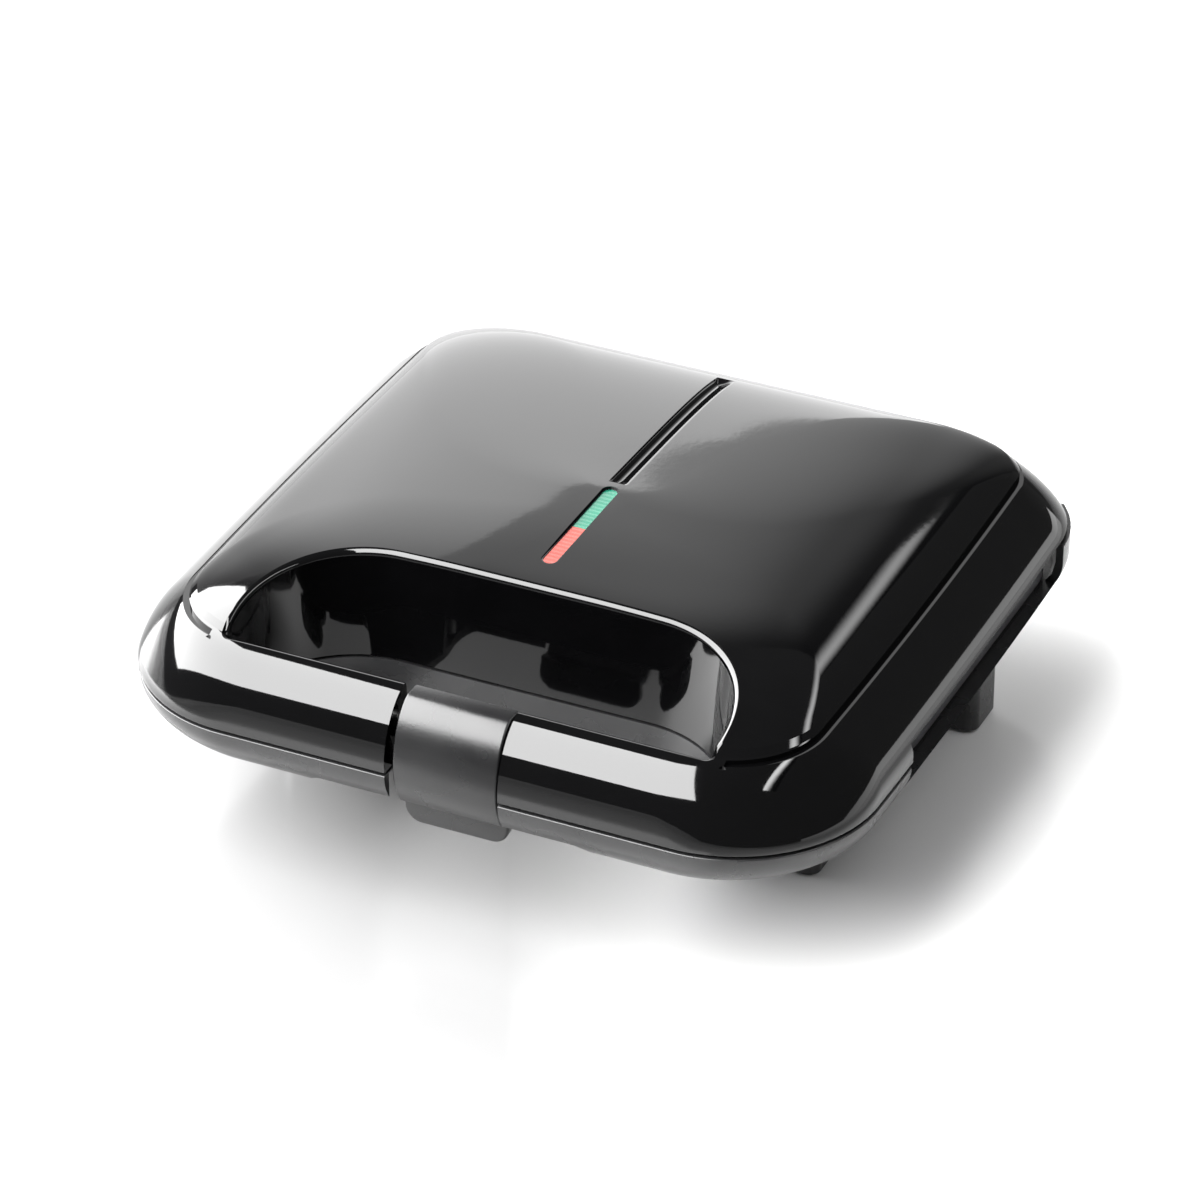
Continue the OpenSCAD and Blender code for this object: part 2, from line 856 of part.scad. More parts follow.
// Sheet pan behind a plate, its rim turned towards the plate
module heat_shield() {
    d = shield_back - shield_front;
    translate([0, (shield_front + shield_back) / 2, -shield_drop - shield_t])
        difference() {
            linear_extrude(4.5)
                rounded(shield_w, d, 14);
            translate([0, 0, shield_t])
                linear_extrude(5)
                    rounded(shield_w - 2, d - 2, 13);
            for (x = [-1, 1], i = [-2 : 2])
                translate([x * heater_x, i * 14, -1])
                    linear_extrude(3)
                        slot(20, 4);
            for (x = [-ring_pitch, ring_pitch], y = ring_y)
                translate([x, y - (shield_front + shield_back) / 2, -1])
                    cylinder(r = 1.4, h = 3);
        }
}

module shield_screws() {
    at_outer_rings()
        translate([0, 0, -shield_drop - shield_t - 1.4])
            mirror([0, 0, 1])
                screw(9, r = 1.25, head_r = 2.6, head_h = 1.4);
}

module plate_screws() {
    at_corners()
        translate([0, 0, -bead_h - 0.4])
            screw(plate_h + 3.5);
}

module in_base() {
    translate([0, 0, lower_face])
        children();
}

module in_lid() {
    translate([0, 0, upper_face])
        mirror([0, 0, 1])
            children();
}

module lower_plate() {
    color("#3a3a3c")
        in_base()
            die_plate();
}

module upper_plate() {
    color("#3a3a3c")
        in_lid()
            die_plate();
}

module lower_heater() {
    color("#7d7a74")
        in_base()
            heater();
}

module upper_heater() {
    color("#7d7a74")
        in_lid()
            heater();
}

module lower_heat_shield() {
    color("#b9bbbd")
        in_base()
            heat_shield();
}

module upper_heat_shield() {
    color("#b9bbbd")
        in_lid()
            heat_shield();
}

module lower_shield_screws() {
    color("silver")
        in_base()
            shield_screws();
}

module upper_shield_screws() {
    color("silver")
        in_lid()
            shield_screws();
}

module lower_plate_screws() {
    color("silver")
        in_base()
            plate_screws();
}

module upper_plate_screws() {
    color("silver")
        in_lid()
            plate_screws();
}

// ---- liners that close the handle halves

// The inside outline of a cover at the seam, in front of the plates
module liner_shape(ring) {
    difference() {
        intersection() {
            polygon(outline([0, wall + seat_gap, wall + seat_gap, wall + seat_gap,
                44 - wall, 37 - wall], 6));
            translate([-half_w, front_y])
                square([body_w, liner_back - front_y]);
        }
        polygon([for (p = ring) [p[0], p[1]]]);
        translate([-slot_hw - wall - seat_gap, front_y])
            square([2 * (slot_hw + wall + seat_gap), 20]);
    }
}

module upper_liner() {
    color("#202022")
        difference() {
            translate([0, 0, lid_z])
                linear_extrude(liner_t)
                    liner_shape(finger_ring(lid_z + liner_t, finger_wall + seat_gap));
            at_liner_screws() {
                translate([0, 0, lid_z - 1])
                    cylinder(r = screw_r, h = 4);
                translate([0, 0, lid_z - 1])
                    cylinder(r = 3, h = 2);
            }
        }
}

module lower_liner() {
    color("#202022")
        difference() {
            translate([0, 0, base_z - liner_t])
                linear_extrude(liner_t)
                    liner_shape(finger_ring(base_z, finger_wall + seat_gap));
            at_liner_screws() {
                translate([0, 0, base_z - 3])
                    cylinder(r = screw_r, h = 4);
                translate([0, 0, base_z - 1])
                    cylinder(r = 3, h = 2);
            }
        }
}

module upper_liner_screws() {
    color("silver")
        at_liner_screws()
            translate([0, 0, lid_z])
                mirror([0, 0, 1])
                    screw(9, head_r = 2.9, head_h = 1);
}

module lower_liner_screws() {
    color("silver")
        at_liner_screws()
            translate([0, 0, base_z])
                screw(9, head_r = 2.9, head_h = 1);
}

// ---- mains entry in the tub

module terminal_block() {
    color("ivory")
        difference() {
            block([-block_hw, block_y - 8, block_z], [block_hw, block_y + 8, block_z + block_h]);
            for (x = [-9, 0, 9], y = [-4, 4])
                translate([x, block_y + y, block_z + block_h - 5])
                    cylinder(r = 2.1, h = 6);
        }
}

module terminal_screws() {
    color("goldenrod")
        for (x = [-9, 0, 9], y = [-4, 4])
            translate([x, block_y + y, block_z + block_h - 0.6])
                screw(4.4, r = 1.5, head_r = 2.1, head_h = 1.2);
}

module cord_clamp() {
    color("#d8d8d4")
        translate([0, clamp_y, 0])
            difference() {
                along_y(clamp_w)
                    difference() {
                        union() {
                            translate([-clamp_x - 3.5, inlet_z - 0.5])
                                square([2 * clamp_x + 7, 2.5]);
                            translate([0, inlet_z])
                                circle(inlet_r + 2);
                        }
                        translate([0, inlet_z])
                            circle(inlet_r - clamp_bite);
                        translate([-big / 2, inlet_z - big - 0.5])
                            square(big);
                    }
                both_sides()
                    translate([clamp_x, 0, 0])
                        cylinder(r = 1.3, h = big);
            }
}

module cord_clamp_screws() {
    color("silver")
        both_sides()
            translate([clamp_x, clamp_y, inlet_z + 3.4])
                screw(7.5, r = 1.2, head_r = 2.4, head_h = 1.4);
}

module base_wiring() {
    z = inlet_z;
    color("#c23b2e")
        both_sides()
            wire([
                [heater_x, wire_y, lower_face - heater_drop - heater_pin_r - wire_r],
                [heater_x, wire_y, z],
                [heater_x, block_y, z],
                [block_hw + wire_r, block_y, z]
            ]);
}

module lid_wiring() {
    z = holder_z - wire_r - seat_gap;
    color("#c23b2e")
        both_sides()
            wire([
                [heater_x, wire_y, upper_face + heater_drop + heater_pin_r + wire_r],
                [heater_x, wire_y, z],
                [heater_x, holder_y, z],
                [holder_hw, holder_y, z]
            ]);
}

// ---- hinge pins

module right_hinge_pin() {
    color("silver")
        translate([barrel_hw - 9, hinge_y, hinge_z])
            rotate([0, 90, 0])
                cylinder(r = hinge_pin_r, h = lug_w + 10);
}

module left_hinge_pin() {
    mirror([1, 0, 0])
        right_hinge_pin();
}

// ---- controls in the lid

module thermostat() {
    color("#c9c4b8")
        translate([0, ring_y[1], upper_face + sensor_drop]) {
            cylinder(r = 8, h = 5);
            both_sides()
                block([6, -2.5, 1], [11, 2.5, 1.8]);
        }
}

fuse_r = 2;
clip_t = 0.8;

module thermal_fuse() {
    color("#d8c48a")
        translate([-6, ring_y[0], upper_face + sensor_drop + fuse_r + clip_t])
            rotate([0, 90, 0]) {
                cylinder(r = fuse_r, h = 12);
                translate([0, 0, -5])
                    cylinder(r = 0.5, h = 22);
            }
}

module fuse_clip() {
    color("silver")
        translate([0, ring_y[0], upper_face + sensor_drop + fuse_r + clip_t])
            along_x(6)
                difference() {
                    union() {
                        circle(fuse_r + clip_t);
                        translate([0, -fuse_r - clip_t])
                            square([7, clip_t]);
                    }
                    circle(fuse_r + 0.05);
                }
}

module indicator_bezel() {
    color("#0c0c0e")
        difference() {
            union() {
                translate([0, 0, lens_top - lens_h])
                    linear_extrude(lens_h + 0.2)
                        pill(pill_w - 0.1, pill_front + 0.05, pill_back - 0.05);
                translate([0, 0, lens_top - lens_h])
                    linear_extrude(1.4)
                        pill(pill_w + 3, pill_front - 1.5, pill_back + 1.5);
            }
            translate([0, 0, lens_top - lens_h - 1])
                linear_extrude(lens_h + 2)
                    pill(pill_w - 2 * bezel_t, pill_front + bezel_t, pill_back - bezel_t);
        }
}

module lens(y0, y1) {
    inset = bezel_t + lens_play;
    translate([0, 0, lens_top - lens_h])
        linear_extrude(lens_h)
            intersection() {
                pill(pill_w - 2 * inset, pill_front + inset, pill_back - inset);
                translate([-pill_w, y0])
                    square([2 * pill_w, y1 - y0]);
            }
}

module red_lens() {
    color("#d8402f")
        lens(pill_front, lens_split);
}

module green_lens() {
    color("#3fae8a")
        lens(lens_split, pill_back);
}

module lamp(y) {
    translate([0, y - lamp_l / 2, holder_z + holder_t + lamp_r])
        rotate([-90, 0, 0]) {
            cylinder(r = lamp_r, h = lamp_l);
            sphere(lamp_r);
            translate([0, 0, lamp_l])
                cylinder(r = 1, h = 4);
        }
}

module red_lamp() {
    color("#e0a090")
        lamp((pill_front + lens_split) / 2);
}

module green_lamp() {
    color("#a8d8c4")
        lamp((pill_back + lens_split) / 2);
}

module lamp_holder() {
    color("#e4e2dc")
        translate([0, holder_y, holder_z])
            difference() {
                union() {
                    along_y(pill_l)
                        difference() {
                            translate([-holder_hw, 0])
                                square([2 * holder_hw, holder_h - seat_gap]);
                            translate([holder_t - holder_hw, holder_t])
                                square([2 * (holder_hw - holder_t), holder_h]);
                        }
                    both_sides()
                        block([holder_hw - 0.2, -3.5, 4.5], [holder_hw + 7.5, 3.5, 6]);
                }
                both_sides()
                    translate([holder_hw + 4, 0, 0])
                        cylinder(r = 1.3, h = holder_h);
            }
}

module lamp_holder_screws() {
    color("silver")
        both_sides()
            translate([holder_hw + 4, holder_y, holder_z + 3.1])
                mirror([0, 0, 1])
                    screw(7, r = 1.2, head_r = 2.3, head_h = 1.4);
}

// ---- latch

// Points of the latch's outer face, set in by t towards the housing
function latch_face(t) =
    [for (c = latch_curve, i = [0 : 6])
        let (
            p = bez(c, i / 7),
            d = bez(c, i / 7 + 0.02) - p,
            n = [d[1], -d[0]] / norm(d)
        )
        p - t * n];

module latch_side(t) {
    face = latch_face(t);
    polygon(concat([[latch_rear, latch_top - t]], face, [[latch_rear, face[13][1]]]));
}

module latch() {
    color("#3c3c3e")
        translate([latch_shift, 0, 0])
            difference() {
                union() {
                    along_x(latch_w)
                        difference() {
                            latch_side(0);
                            latch_side(latch_t);
                            translate([shell_back, 0])
                                square([big, latch_z]);
                        }
                    both_sides()
                        translate([latch_w / 2 - 1.1, 0, 0])
                            along_x(2.2)
                                intersection() {
                                    latch_side(0.4);
                                    union() {
                                        translate([-big, web_top + 0.8])
                                            square([big + latch_y, big]);
                                        translate([-big, latch_z + cheek_up])
                                            square([2 * big, big]);
                                    }
                                }
                    translate([-latch_w / 2, latch_y, latch_z])
                        rotate([0, 90, 0])
                            cylinder(r = latch_boss_r, h = latch_w);
                    latch_tab();
                }
                translate([-latch_w, latch_y, latch_z])
                    rotate([0, 90, 0])
                        cylinder(r = latch_pin_r + pin_play, h = 2 * latch_w);
            }
}

// Hook under the keeper of the base, with the thumb tab that hangs below it
module latch_tab() {
    block([-tab_w / 2, latch_curve[1][3][0] + 0.5, latch_foot],
        [tab_w / 2, tab_back, latch_foot + latch_t]);
    translate([0, tab_back, latch_foot])
        rotate([90, 0, 0])
            linear_extrude(tab_t)
                difference() {
                    translate([0, -tab_h / 2 + 2])
                        rounded(tab_w, tab_h + 4, 5.5);
                    translate([-latch_w, 1])
                        square([2 * latch_w, 10]);
                }
}

module latch_pin() {
    color("silver")
        translate([-slot_hw - wall, latch_y, latch_z])
            rotate([0, 90, 0])
                cylinder(r = latch_pin_r, h = 2 * (slot_hw + wall));
}

translate([0, shift_y, 0]) {
    base_cover();
    front_feet();
    rear_feet();
    lower_plate();
    lower_heater();
    lower_heat_shield();
    lower_shield_screws();
    lower_plate_screws();
    lower_liner();
    lower_liner_screws();
    terminal_block();
    terminal_screws();
    cord_clamp();
    cord_clamp_screws();
    base_wiring();
    left_hinge_pin();
    right_hinge_pin();
    lid_cover();
    upper_liner();
    upper_liner_screws();
    upper_plate();
    upper_heater();
    upper_heat_shield();
    upper_shield_screws();
    upper_plate_screws();
    thermostat();
    thermal_fuse();
    fuse_clip();
    indicator_bezel();
    red_lens();
    green_lens();
    red_lamp();
    green_lamp();
    lamp_holder();
    lamp_holder_screws();
    lid_wiring();
    latch_pin();
    latch();
}
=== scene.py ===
import json
import math

import bpy
import numpy as np
from mathutils import Matrix, Vector
from mathutils.bvhtree import BVHTree


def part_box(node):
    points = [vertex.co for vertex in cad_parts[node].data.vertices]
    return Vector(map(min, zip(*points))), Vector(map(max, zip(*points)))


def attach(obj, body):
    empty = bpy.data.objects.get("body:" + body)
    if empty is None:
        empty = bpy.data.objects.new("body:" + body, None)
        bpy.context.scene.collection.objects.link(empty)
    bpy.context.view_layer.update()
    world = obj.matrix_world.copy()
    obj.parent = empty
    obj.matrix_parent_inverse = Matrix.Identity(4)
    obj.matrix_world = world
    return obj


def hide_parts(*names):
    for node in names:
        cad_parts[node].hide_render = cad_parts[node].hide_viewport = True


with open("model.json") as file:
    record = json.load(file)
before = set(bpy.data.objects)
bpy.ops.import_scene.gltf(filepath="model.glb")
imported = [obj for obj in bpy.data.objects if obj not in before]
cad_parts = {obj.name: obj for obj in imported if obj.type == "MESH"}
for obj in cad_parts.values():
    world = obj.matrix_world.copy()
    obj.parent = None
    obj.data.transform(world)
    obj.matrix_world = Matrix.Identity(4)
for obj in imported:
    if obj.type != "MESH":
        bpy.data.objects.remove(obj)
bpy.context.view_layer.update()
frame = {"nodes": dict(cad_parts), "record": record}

# Sizes are millimetres from the middle of the seam outline, as in the CAD source.
# SHIFT_Y carries them to the frame, whose origin is the middle of the footprint.
MM = 0.001
LATCH_PIN_Y, LATCH_PIN_Z, LATCH_BARREL_R = -102.5, 62.5, 3.2
SHIFT_Y = round(sum(c[1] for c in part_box("latch_pin")) / 2 / MM - LATCH_PIN_Y, 3)

HALF_W, FRONT_Y, BACK_Y, SIDE_BOW = 117.99, -113.0, 113.0, 1.8
LID_Z, BASE_Z = 48.5, 47.5
RIM_Z, RIM_TOP, CROWN_Z = 51.0, 71.6, 73.2
WALL, LEDGE_T, LINER_WALL = 2.4, 2, 2.2
FRONT_R, LID_BACK_R, BASE_BACK_R = 44, 33, 38
BASE_BACK = -2.88
HINGE_Y, HINGE_Z, HINGE_R = 109, 49.5, 5
BARREL_HW, LUG_END, HINGE_ROOM_R = 45, 58, 7.3
SLOT_HW, HOUSING_HW = 18.1, 20.5
PAST = 400
CORNER_STEPS = 32
ROUND_STEPS = 24

# Rows of rings: z, how far the sides, front and back are set in, front and back corner radius.
# Each table but the tub's holds the control rows of a curve.
RIM_ROWS = np.array([
    [RIM_Z, 0, 0, 0, FRONT_R, LID_BACK_R], [60.064, 0, 0, 0, 56, 40],
    [69.952, 14.5, 6.5, 13, 34, 25], [RIM_TOP, 16.7, 15, 15.3, 29, 19]])
CROWN_ROWS = np.array([
    [CROWN_Z, 18, 17, 16, 28, 20], [84.88, 30, 42, 16, 36, 50], [83.12, 65, 56, 85, 46, 45],
    [85.17, 79, 68, 103, 19, 6], [85.17, 114, 100, 112, 4, 4]])
BAND_ROWS = np.array([
    [31.8, 16, 16, 10, 34, 22], [33.0, 5.6, 5.6, 2.6, FRONT_R, 30],
    [40.5, 0, 0, BASE_BACK, FRONT_R, 36], [BASE_Z, 0, 0, BASE_BACK, FRONT_R, BASE_BACK_R]])
TUB_ROWS = np.array([
    [13.0, 36, 72, 28, 16, 16], [13.8, 32.5, 68.5, 24.5, 18, 18],
    [16.0, 30, 66.5, 22, 20, 20], [30.5, 21, 62.5, 15, 25, 22]])

# The finger opening at FINGER_Z: it narrows by FINGER_TAPER down to the seam.
FINGER_Z = 85.3
FINGER_HW, FINGER_FRONT, FINGER_BACK, FINGER_R = 78, -98, -53.7, 35
FINGER_TAPER, FINGER_LEAN = 2.8, 1.2
FINGER_NEAR_R, LIP_R = 1.5, 2.0


# ---- curves and outlines

def bez(rows, t):
    """Point at t on the curve with these control rows."""
    c = np.array(rows, float)
    while len(c) > 1:
        c = (1 - t) * c[:-1] + t * c[1:]
    return c[0]


def arc(cx, cy, r, a0, a1, n=None):
    a = np.radians(np.linspace(a0, a1, (n or CORNER_STEPS) + 1))
    return np.stack([cx + r * np.cos(a), cy + r * np.sin(a)], 1)


def line(p, q, n):
    """n points between p and q, without the ends."""
    t = (np.arange(n) + 1)[:, None] / (n + 1)
    return np.array(p) * (1 - t) + np.array(q) * t


def outline(row):
    """Closed outline of a row, its long sides bowed, as x, y pairs."""
    _, side, front, back, rf, rb = row
    a = HALF_W - SIDE_BOW - side
    y0, y1 = FRONT_Y + front, BACK_Y - back
    most = min(a, (y1 - y0) / 2 - 0.5)
    rf, rb = min(rf, most), min(rb, most)
    m = CORNER_STEPS
    loop = np.concatenate([
        arc(a - rb, y1 - rb, rb, 0, 90), arc(rb - a, y1 - rb, rb, 90, 180),
        line((-a, y1 - rb), (-a, y0 + rf), m),
        arc(rf - a, y0 + rf, rf, 180, 270), line((rf - a, y0), (a - rf, y0), m),
        arc(a - rf, y0 + rf, rf, 270, 360), line((a, y0 + rf), (a, y1 - rb), m)])
    v = (2 * loop[:, 1] - y0 - y1) / (y1 - y0)
    loop[:, 0] *= 1 + SIDE_BOW * (1 - v * v) / a
    return loop


def ring(row):
    """A row's outline at its own height."""
    return level(outline(row), row[0])


def inner(row, f, wall=WALL):
    """A row set in by the wall and moved down by the share f of it."""
    z, side, front, back, rf, rb = row
    least_r = 2
    return [z - wall * f, side + wall, front + wall, back + wall,
            max(rf - wall, least_r), max(rb - wall, least_r)]


# ---- meshes

GROUPS = {}


def group_material(name):
    """A mark that tells which surface a face came from while solids are cut."""
    if name not in GROUPS:
        GROUPS[name] = bpy.data.materials.new("cut_" + name)
    return GROUPS[name]


def new_object(name, verts, faces, groups=("flat",), face_group=None):
    """Mesh object from millimetre points. Each face belongs to one named group."""
    pts = (np.asarray(verts, float) + [0, SHIFT_Y, 0]) * MM
    mesh = bpy.data.meshes.new(name)
    mesh.from_pydata([tuple(p) for p in pts], [], [tuple(f) for f in faces])
    for g in groups:
        mesh.materials.append(group_material(g))
    if face_group is not None:
        mesh.polygons.foreach_set("material_index", face_group)
    mesh.validate()
    obj = bpy.data.objects.new(name, mesh)
    bpy.context.scene.collection.objects.link(obj)
    return obj


def stack_faces(count, m):
    """Quads between the rings of a stack, each ring m points round."""
    return [(k * m + i, k * m + (i + 1) % m, (k + 1) * m + (i + 1) % m, (k + 1) * m + i)
            for k in range(count - 1) for i in range(m)]


def loft(name, stack, groups, band_group):
    """Closed solid through equal rings, lowest first. band_group names each band's group."""
    m, count = len(stack[0]), len(stack)
    faces = [tuple(range(m - 1, -1, -1)), *stack_faces(count, m),
             tuple(range((count - 1) * m, count * m))]
    names = ["flat", *[g for g in band_group[:count - 1] for _ in range(m)], "flat"]
    return new_object(name, np.concatenate(stack), faces, groups, [groups.index(g) for g in names])


def block(lo, hi):
    (x0, y0, z0), (x1, y1, z1) = lo, hi
    v = [(x, y, z) for z in (z0, z1) for x, y in ((x0, y0), (x1, y0), (x1, y1), (x0, y1))]
    f = [(3, 2, 1, 0), (4, 5, 6, 7), (0, 1, 5, 4), (1, 2, 6, 5), (2, 3, 7, 6), (3, 0, 4, 7)]
    return new_object("block", v, f)


def layers(name, verts, m, group="flat"):
    """Closed solid through outlines of m points each, given one after the other."""
    count = len(verts) // m
    caps = [tuple(range(m - 1, -1, -1)), tuple(range(m * (count - 1), m * count))]
    return new_object(name, verts, caps + stack_faces(count, m), [group])


def prism(loop, z0, z1):
    """Upright solid over a closed outline that runs anticlockwise."""
    return layers("prism", [(x, y, z) for z in (z0, z1) for x, y in loop], len(loop))


def bar_x(profile, x0, x1, group="flat"):
    """Solid over a closed (y, z) outline between two heights of X."""
    return layers("bar", [(x, y, z) for x in (x0, x1) for y, z in profile], len(profile), group)


def cylinder_x(x0, x1, y, z, r):
    sides = 64
    return bar_x(arc(y, z, r, 0, 360 - 360 / sides, sides - 1), x0, x1, "round")


def level(loop, z):
    """An outline's points at one height."""
    return np.column_stack([loop, np.full(len(loop), z)])


def cut(target, cutters, how="DIFFERENCE"):
    """Cuts the cutters out of the target, or joins them to it, and deletes them."""
    for other in cutters:
        mod = target.modifiers.new("cut", "BOOLEAN")
        mod.operation, mod.solver, mod.object = how, "EXACT", other
        mod.material_mode = "TRANSFER"
        graph = bpy.context.evaluated_depsgraph_get()
        mesh = bpy.data.meshes.new_from_object(target.evaluated_get(graph))
        target.modifiers.remove(mod)
        old, target.data = target.data, mesh
        bpy.data.meshes.remove(old)
        bpy.data.objects.remove(other)
    return target


class Surface:
    """A smooth grid of rings that lends its normals to the cut solid's faces."""

    def __init__(self, stack):
        g = (np.array(stack) + [0, SHIFT_Y, 0]) * MM
        round_step = np.roll(g, -1, 1) - np.roll(g, 1, 1)
        up_step = np.gradient(g, axis=0)
        n = np.cross(round_step, up_step)
        n /= np.linalg.norm(n, axis=2, keepdims=True) + 1e-12
        rows, m = g.shape[:2]
        self.points, self.normals = g.reshape(-1, 3), n.reshape(-1, 3)
        quads = stack_faces(rows, m)
        self.tris = [t for a, b, c, d in quads for t in ((a, b, c), (a, c, d))]
        self.tree = BVHTree.FromPolygons([Vector(p) for p in self.points], self.tris)

    def normal(self, p):
        near, _, index, _ = self.tree.find_nearest(p)
        i, j, k = self.tris[index]
        a, b, c = (self.points[q] for q in (i, j, k))
        v0, v1, v2 = b - a, c - a, np.array(near) - a
        d00, d01, d11 = v0 @ v0, v0 @ v1, v1 @ v1
        d20, d21 = v2 @ v0, v2 @ v1
        den = d00 * d11 - d01 * d01 or 1e-20
        v = (d11 * d20 - d01 * d21) / den
        w = (d00 * d21 - d01 * d20) / den
        n = (1 - v - w) * self.normals[i] + v * self.normals[j] + w * self.normals[k]
        return n / (np.linalg.norm(n) or 1)

    def height(self, x, y):
        """Height of the surface over a point, or None beside it."""
        above = 200
        start = Vector((x, y + SHIFT_Y, above)) * MM
        hit, _, _, _ = self.tree.ray_cast(start, Vector((0, 0, -1)))
        return hit.z / MM if hit else None


def shade(obj, surfaces, angle=30):
    """Smooth shading: a surface's own faces take its normals, the rest round off by angle."""
    mesh = obj.data
    mesh.polygons.foreach_set("use_smooth", [True] * len(mesh.polygons))
    mesh.set_sharp_from_angle(angle=math.radians(angle))
    n = np.empty(len(mesh.loops) * 3)
    mesh.corner_normals.foreach_get("vector", n)
    n = n.reshape(-1, 3)
    names = [m.name.removeprefix("cut_") for m in mesh.materials]
    cache = {}
    for poly in mesh.polygons:
        group = names[poly.material_index]
        if group not in surfaces:
            continue
        for li in poly.loop_indices:
            vi = mesh.loops[li].vertex_index
            key = (group, vi)
            if key not in cache:
                got = surfaces[group].normal(mesh.vertices[vi].co)
                face = np.array(poly.normal)
                cache[key] = got if got @ face > 0 else -got
            n[li] = cache[key]
    mesh.normals_split_custom_set(n)


def dress(obj, material, body, slot, *nodes):
    """Gives a finished piece its one material and its body, and hides the nodes it stands for."""
    mesh = obj.data
    mesh.materials.clear()
    mesh.materials.append(material)
    mesh.polygons.foreach_set("material_index", [0] * len(mesh.polygons))
    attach(obj, body)
    if nodes:
        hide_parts(*nodes)


# ---- materials

class Nodes:
    """A new node material with a Principled shader and short ways to add nodes."""

    def __init__(self, name, colour, rough, **sockets):
        self.mat = bpy.data.materials.new(name)
        self.mat.use_nodes = True
        self.tree = self.mat.node_tree
        self.shader = self.tree.nodes["Principled BSDF"]
        self.set("Base Color", (*colour, 1))
        self.set("Roughness", rough)
        for key, value in sockets.items():
            self.set(key.replace("_", " "), value)
        self.where = self.add("ShaderNodeTexCoord").outputs["Object"]

    def set(self, key, value):
        self.shader.inputs[key].default_value = value

    def add(self, kind, inputs=(), **props):
        node = self.tree.nodes.new(kind)
        for key, value in props.items():
            setattr(node, key, value)
        for key, value in dict(inputs).items():
            if isinstance(value, bpy.types.NodeSocket):
                self.tree.links.new(value, node.inputs[key])
            else:
                node.inputs[key].default_value = value
        return node

    def noise(self, scale, detail=3.0, rough=0.5, stretch=None):
        where = self.where
        if stretch:
            where = self.add("ShaderNodeMapping", {"Vector": where, "Scale": stretch}).outputs[0]
        return self.add("ShaderNodeTexNoise", {
            "Vector": where, "Scale": scale, "Detail": detail, "Roughness": rough}).outputs["Fac"]

    def span(self, fac, lo, hi, a=0.3, b=0.7):
        return self.add("ShaderNodeMapRange", {
            "Value": fac, "From Min": a, "From Max": b, "To Min": lo, "To Max": hi}).outputs[0]

    def mix(self, fac, one, two):
        node = self.add("ShaderNodeMix", data_type="RGBA")
        for key, value in (("Factor", fac), ("A", one), ("B", two)):
            socket = [s for s in node.inputs if s.name == key and s.enabled][0]
            if isinstance(value, bpy.types.NodeSocket):
                self.tree.links.new(value, socket)
            else:
                socket.default_value = value
        return [s for s in node.outputs if s.enabled][0]

    def link(self, out, key):
        self.tree.links.new(out, self.shader.inputs[key])

    def bump(self, height, strength, distance):
        node = self.add("ShaderNodeBump", {
            "Height": height, "Strength": strength, "Distance": distance})
        self.tree.links.new(node.outputs[0], self.shader.inputs["Normal"])


def plastic(name, colour, rough, spread, grain, grain_depth):
    """Moulded plastic with uneven gloss and a fine grain, its depth in metres."""
    m = Nodes(name, colour, rough)
    blotch = m.noise(38.0, 4)
    m.link(m.span(blotch, rough - spread, rough + spread), "Roughness")
    tint = tuple(min(1, c * 1.25) for c in colour)
    m.link(m.mix(m.span(m.noise(95.0, 5), 0, 1), (*colour, 1), (*tint, 1)), "Base Color")
    m.bump(m.noise(grain, 2), 1.0, grain_depth)
    return m.mat


def metal(name, colour, rough, brushed=False):
    """Bare metal with uneven tone and fine scratches, drawn out along X where brushed."""
    m = Nodes(name, colour, rough, Metallic=1.0)
    stretch = (1, 40, 1) if brushed else None
    fine = m.noise(220.0 if not brushed else 60.0, 4, stretch=stretch)
    m.link(m.span(fine, rough - 0.08, rough + 0.12), "Roughness")
    dark = tuple(c * 0.72 for c in colour)
    m.link(m.mix(m.span(m.noise(40.0, 5), 0, 1), (*dark, 1), (*colour, 1)), "Base Color")
    m.bump(fine, 0.5, 0.00004)
    return m.mat


def nonstick():
    """Dark coating with pale flecks."""
    coat, fleck_tone = (0.05, 0.05, 0.052), (0.11, 0.11, 0.112)
    m = Nodes("nonstick_coating", coat, 0.36)
    speck = m.add("ShaderNodeTexVoronoi", {"Vector": m.where, "Scale": 700.0}).outputs["Distance"]
    fleck = m.span(speck, 1, 0, 0.05, 0.22)
    m.link(m.mix(fleck, (*coat, 1), (*fleck_tone, 1)), "Base Color")
    m.link(m.span(m.noise(60.0, 4), 0.30, 0.42), "Roughness")
    m.bump(m.noise(900.0, 2), 0.6, 0.00005)
    return m.mat


def lens(name, colour, glow):
    """Tinted clear lens over a weak lamp, with fine ribs across it."""
    m = Nodes(name, colour, 0.18, Transmission_Weight=0.25, IOR=1.49, Coat_Weight=0.6)
    ribs = m.add("ShaderNodeTexWave", {"Vector": m.where, "Scale": 160.0, "Distortion": 0.0},
                 bands_direction="Y").outputs["Fac"]
    deep = tuple(c * 0.72 for c in colour)
    m.link(m.mix(m.span(m.noise(120.0, 3), 0, 1), (*deep, 1), (*colour, 1)), "Base Color")
    m.bump(ribs, 0.25, 0.0001)
    m.set("Emission Color", (*colour, 1))
    m.set("Emission Strength", glow)
    return m.mat


def ceramic():
    """Matt pale ceramic."""
    dark, pale = (0.70, 0.67, 0.60), (0.82, 0.79, 0.72)
    m = Nodes("steatite", pale, 0.55)
    m.link(m.mix(m.span(m.noise(300.0, 4), 0, 1), (*dark, 1), (*pale, 1)), "Base Color")
    m.bump(m.noise(500.0, 3), 0.5, 0.00006)
    return m.mat


def glass():
    """The lamps' clear glass."""
    m = Nodes("lamp_glass", (0.95, 0.92, 0.88), 0.04, Transmission_Weight=0.9, IOR=1.48)
    m.link(m.span(m.noise(90.0, 3), 0.02, 0.10), "Roughness")
    return m.mat


# ---- shells

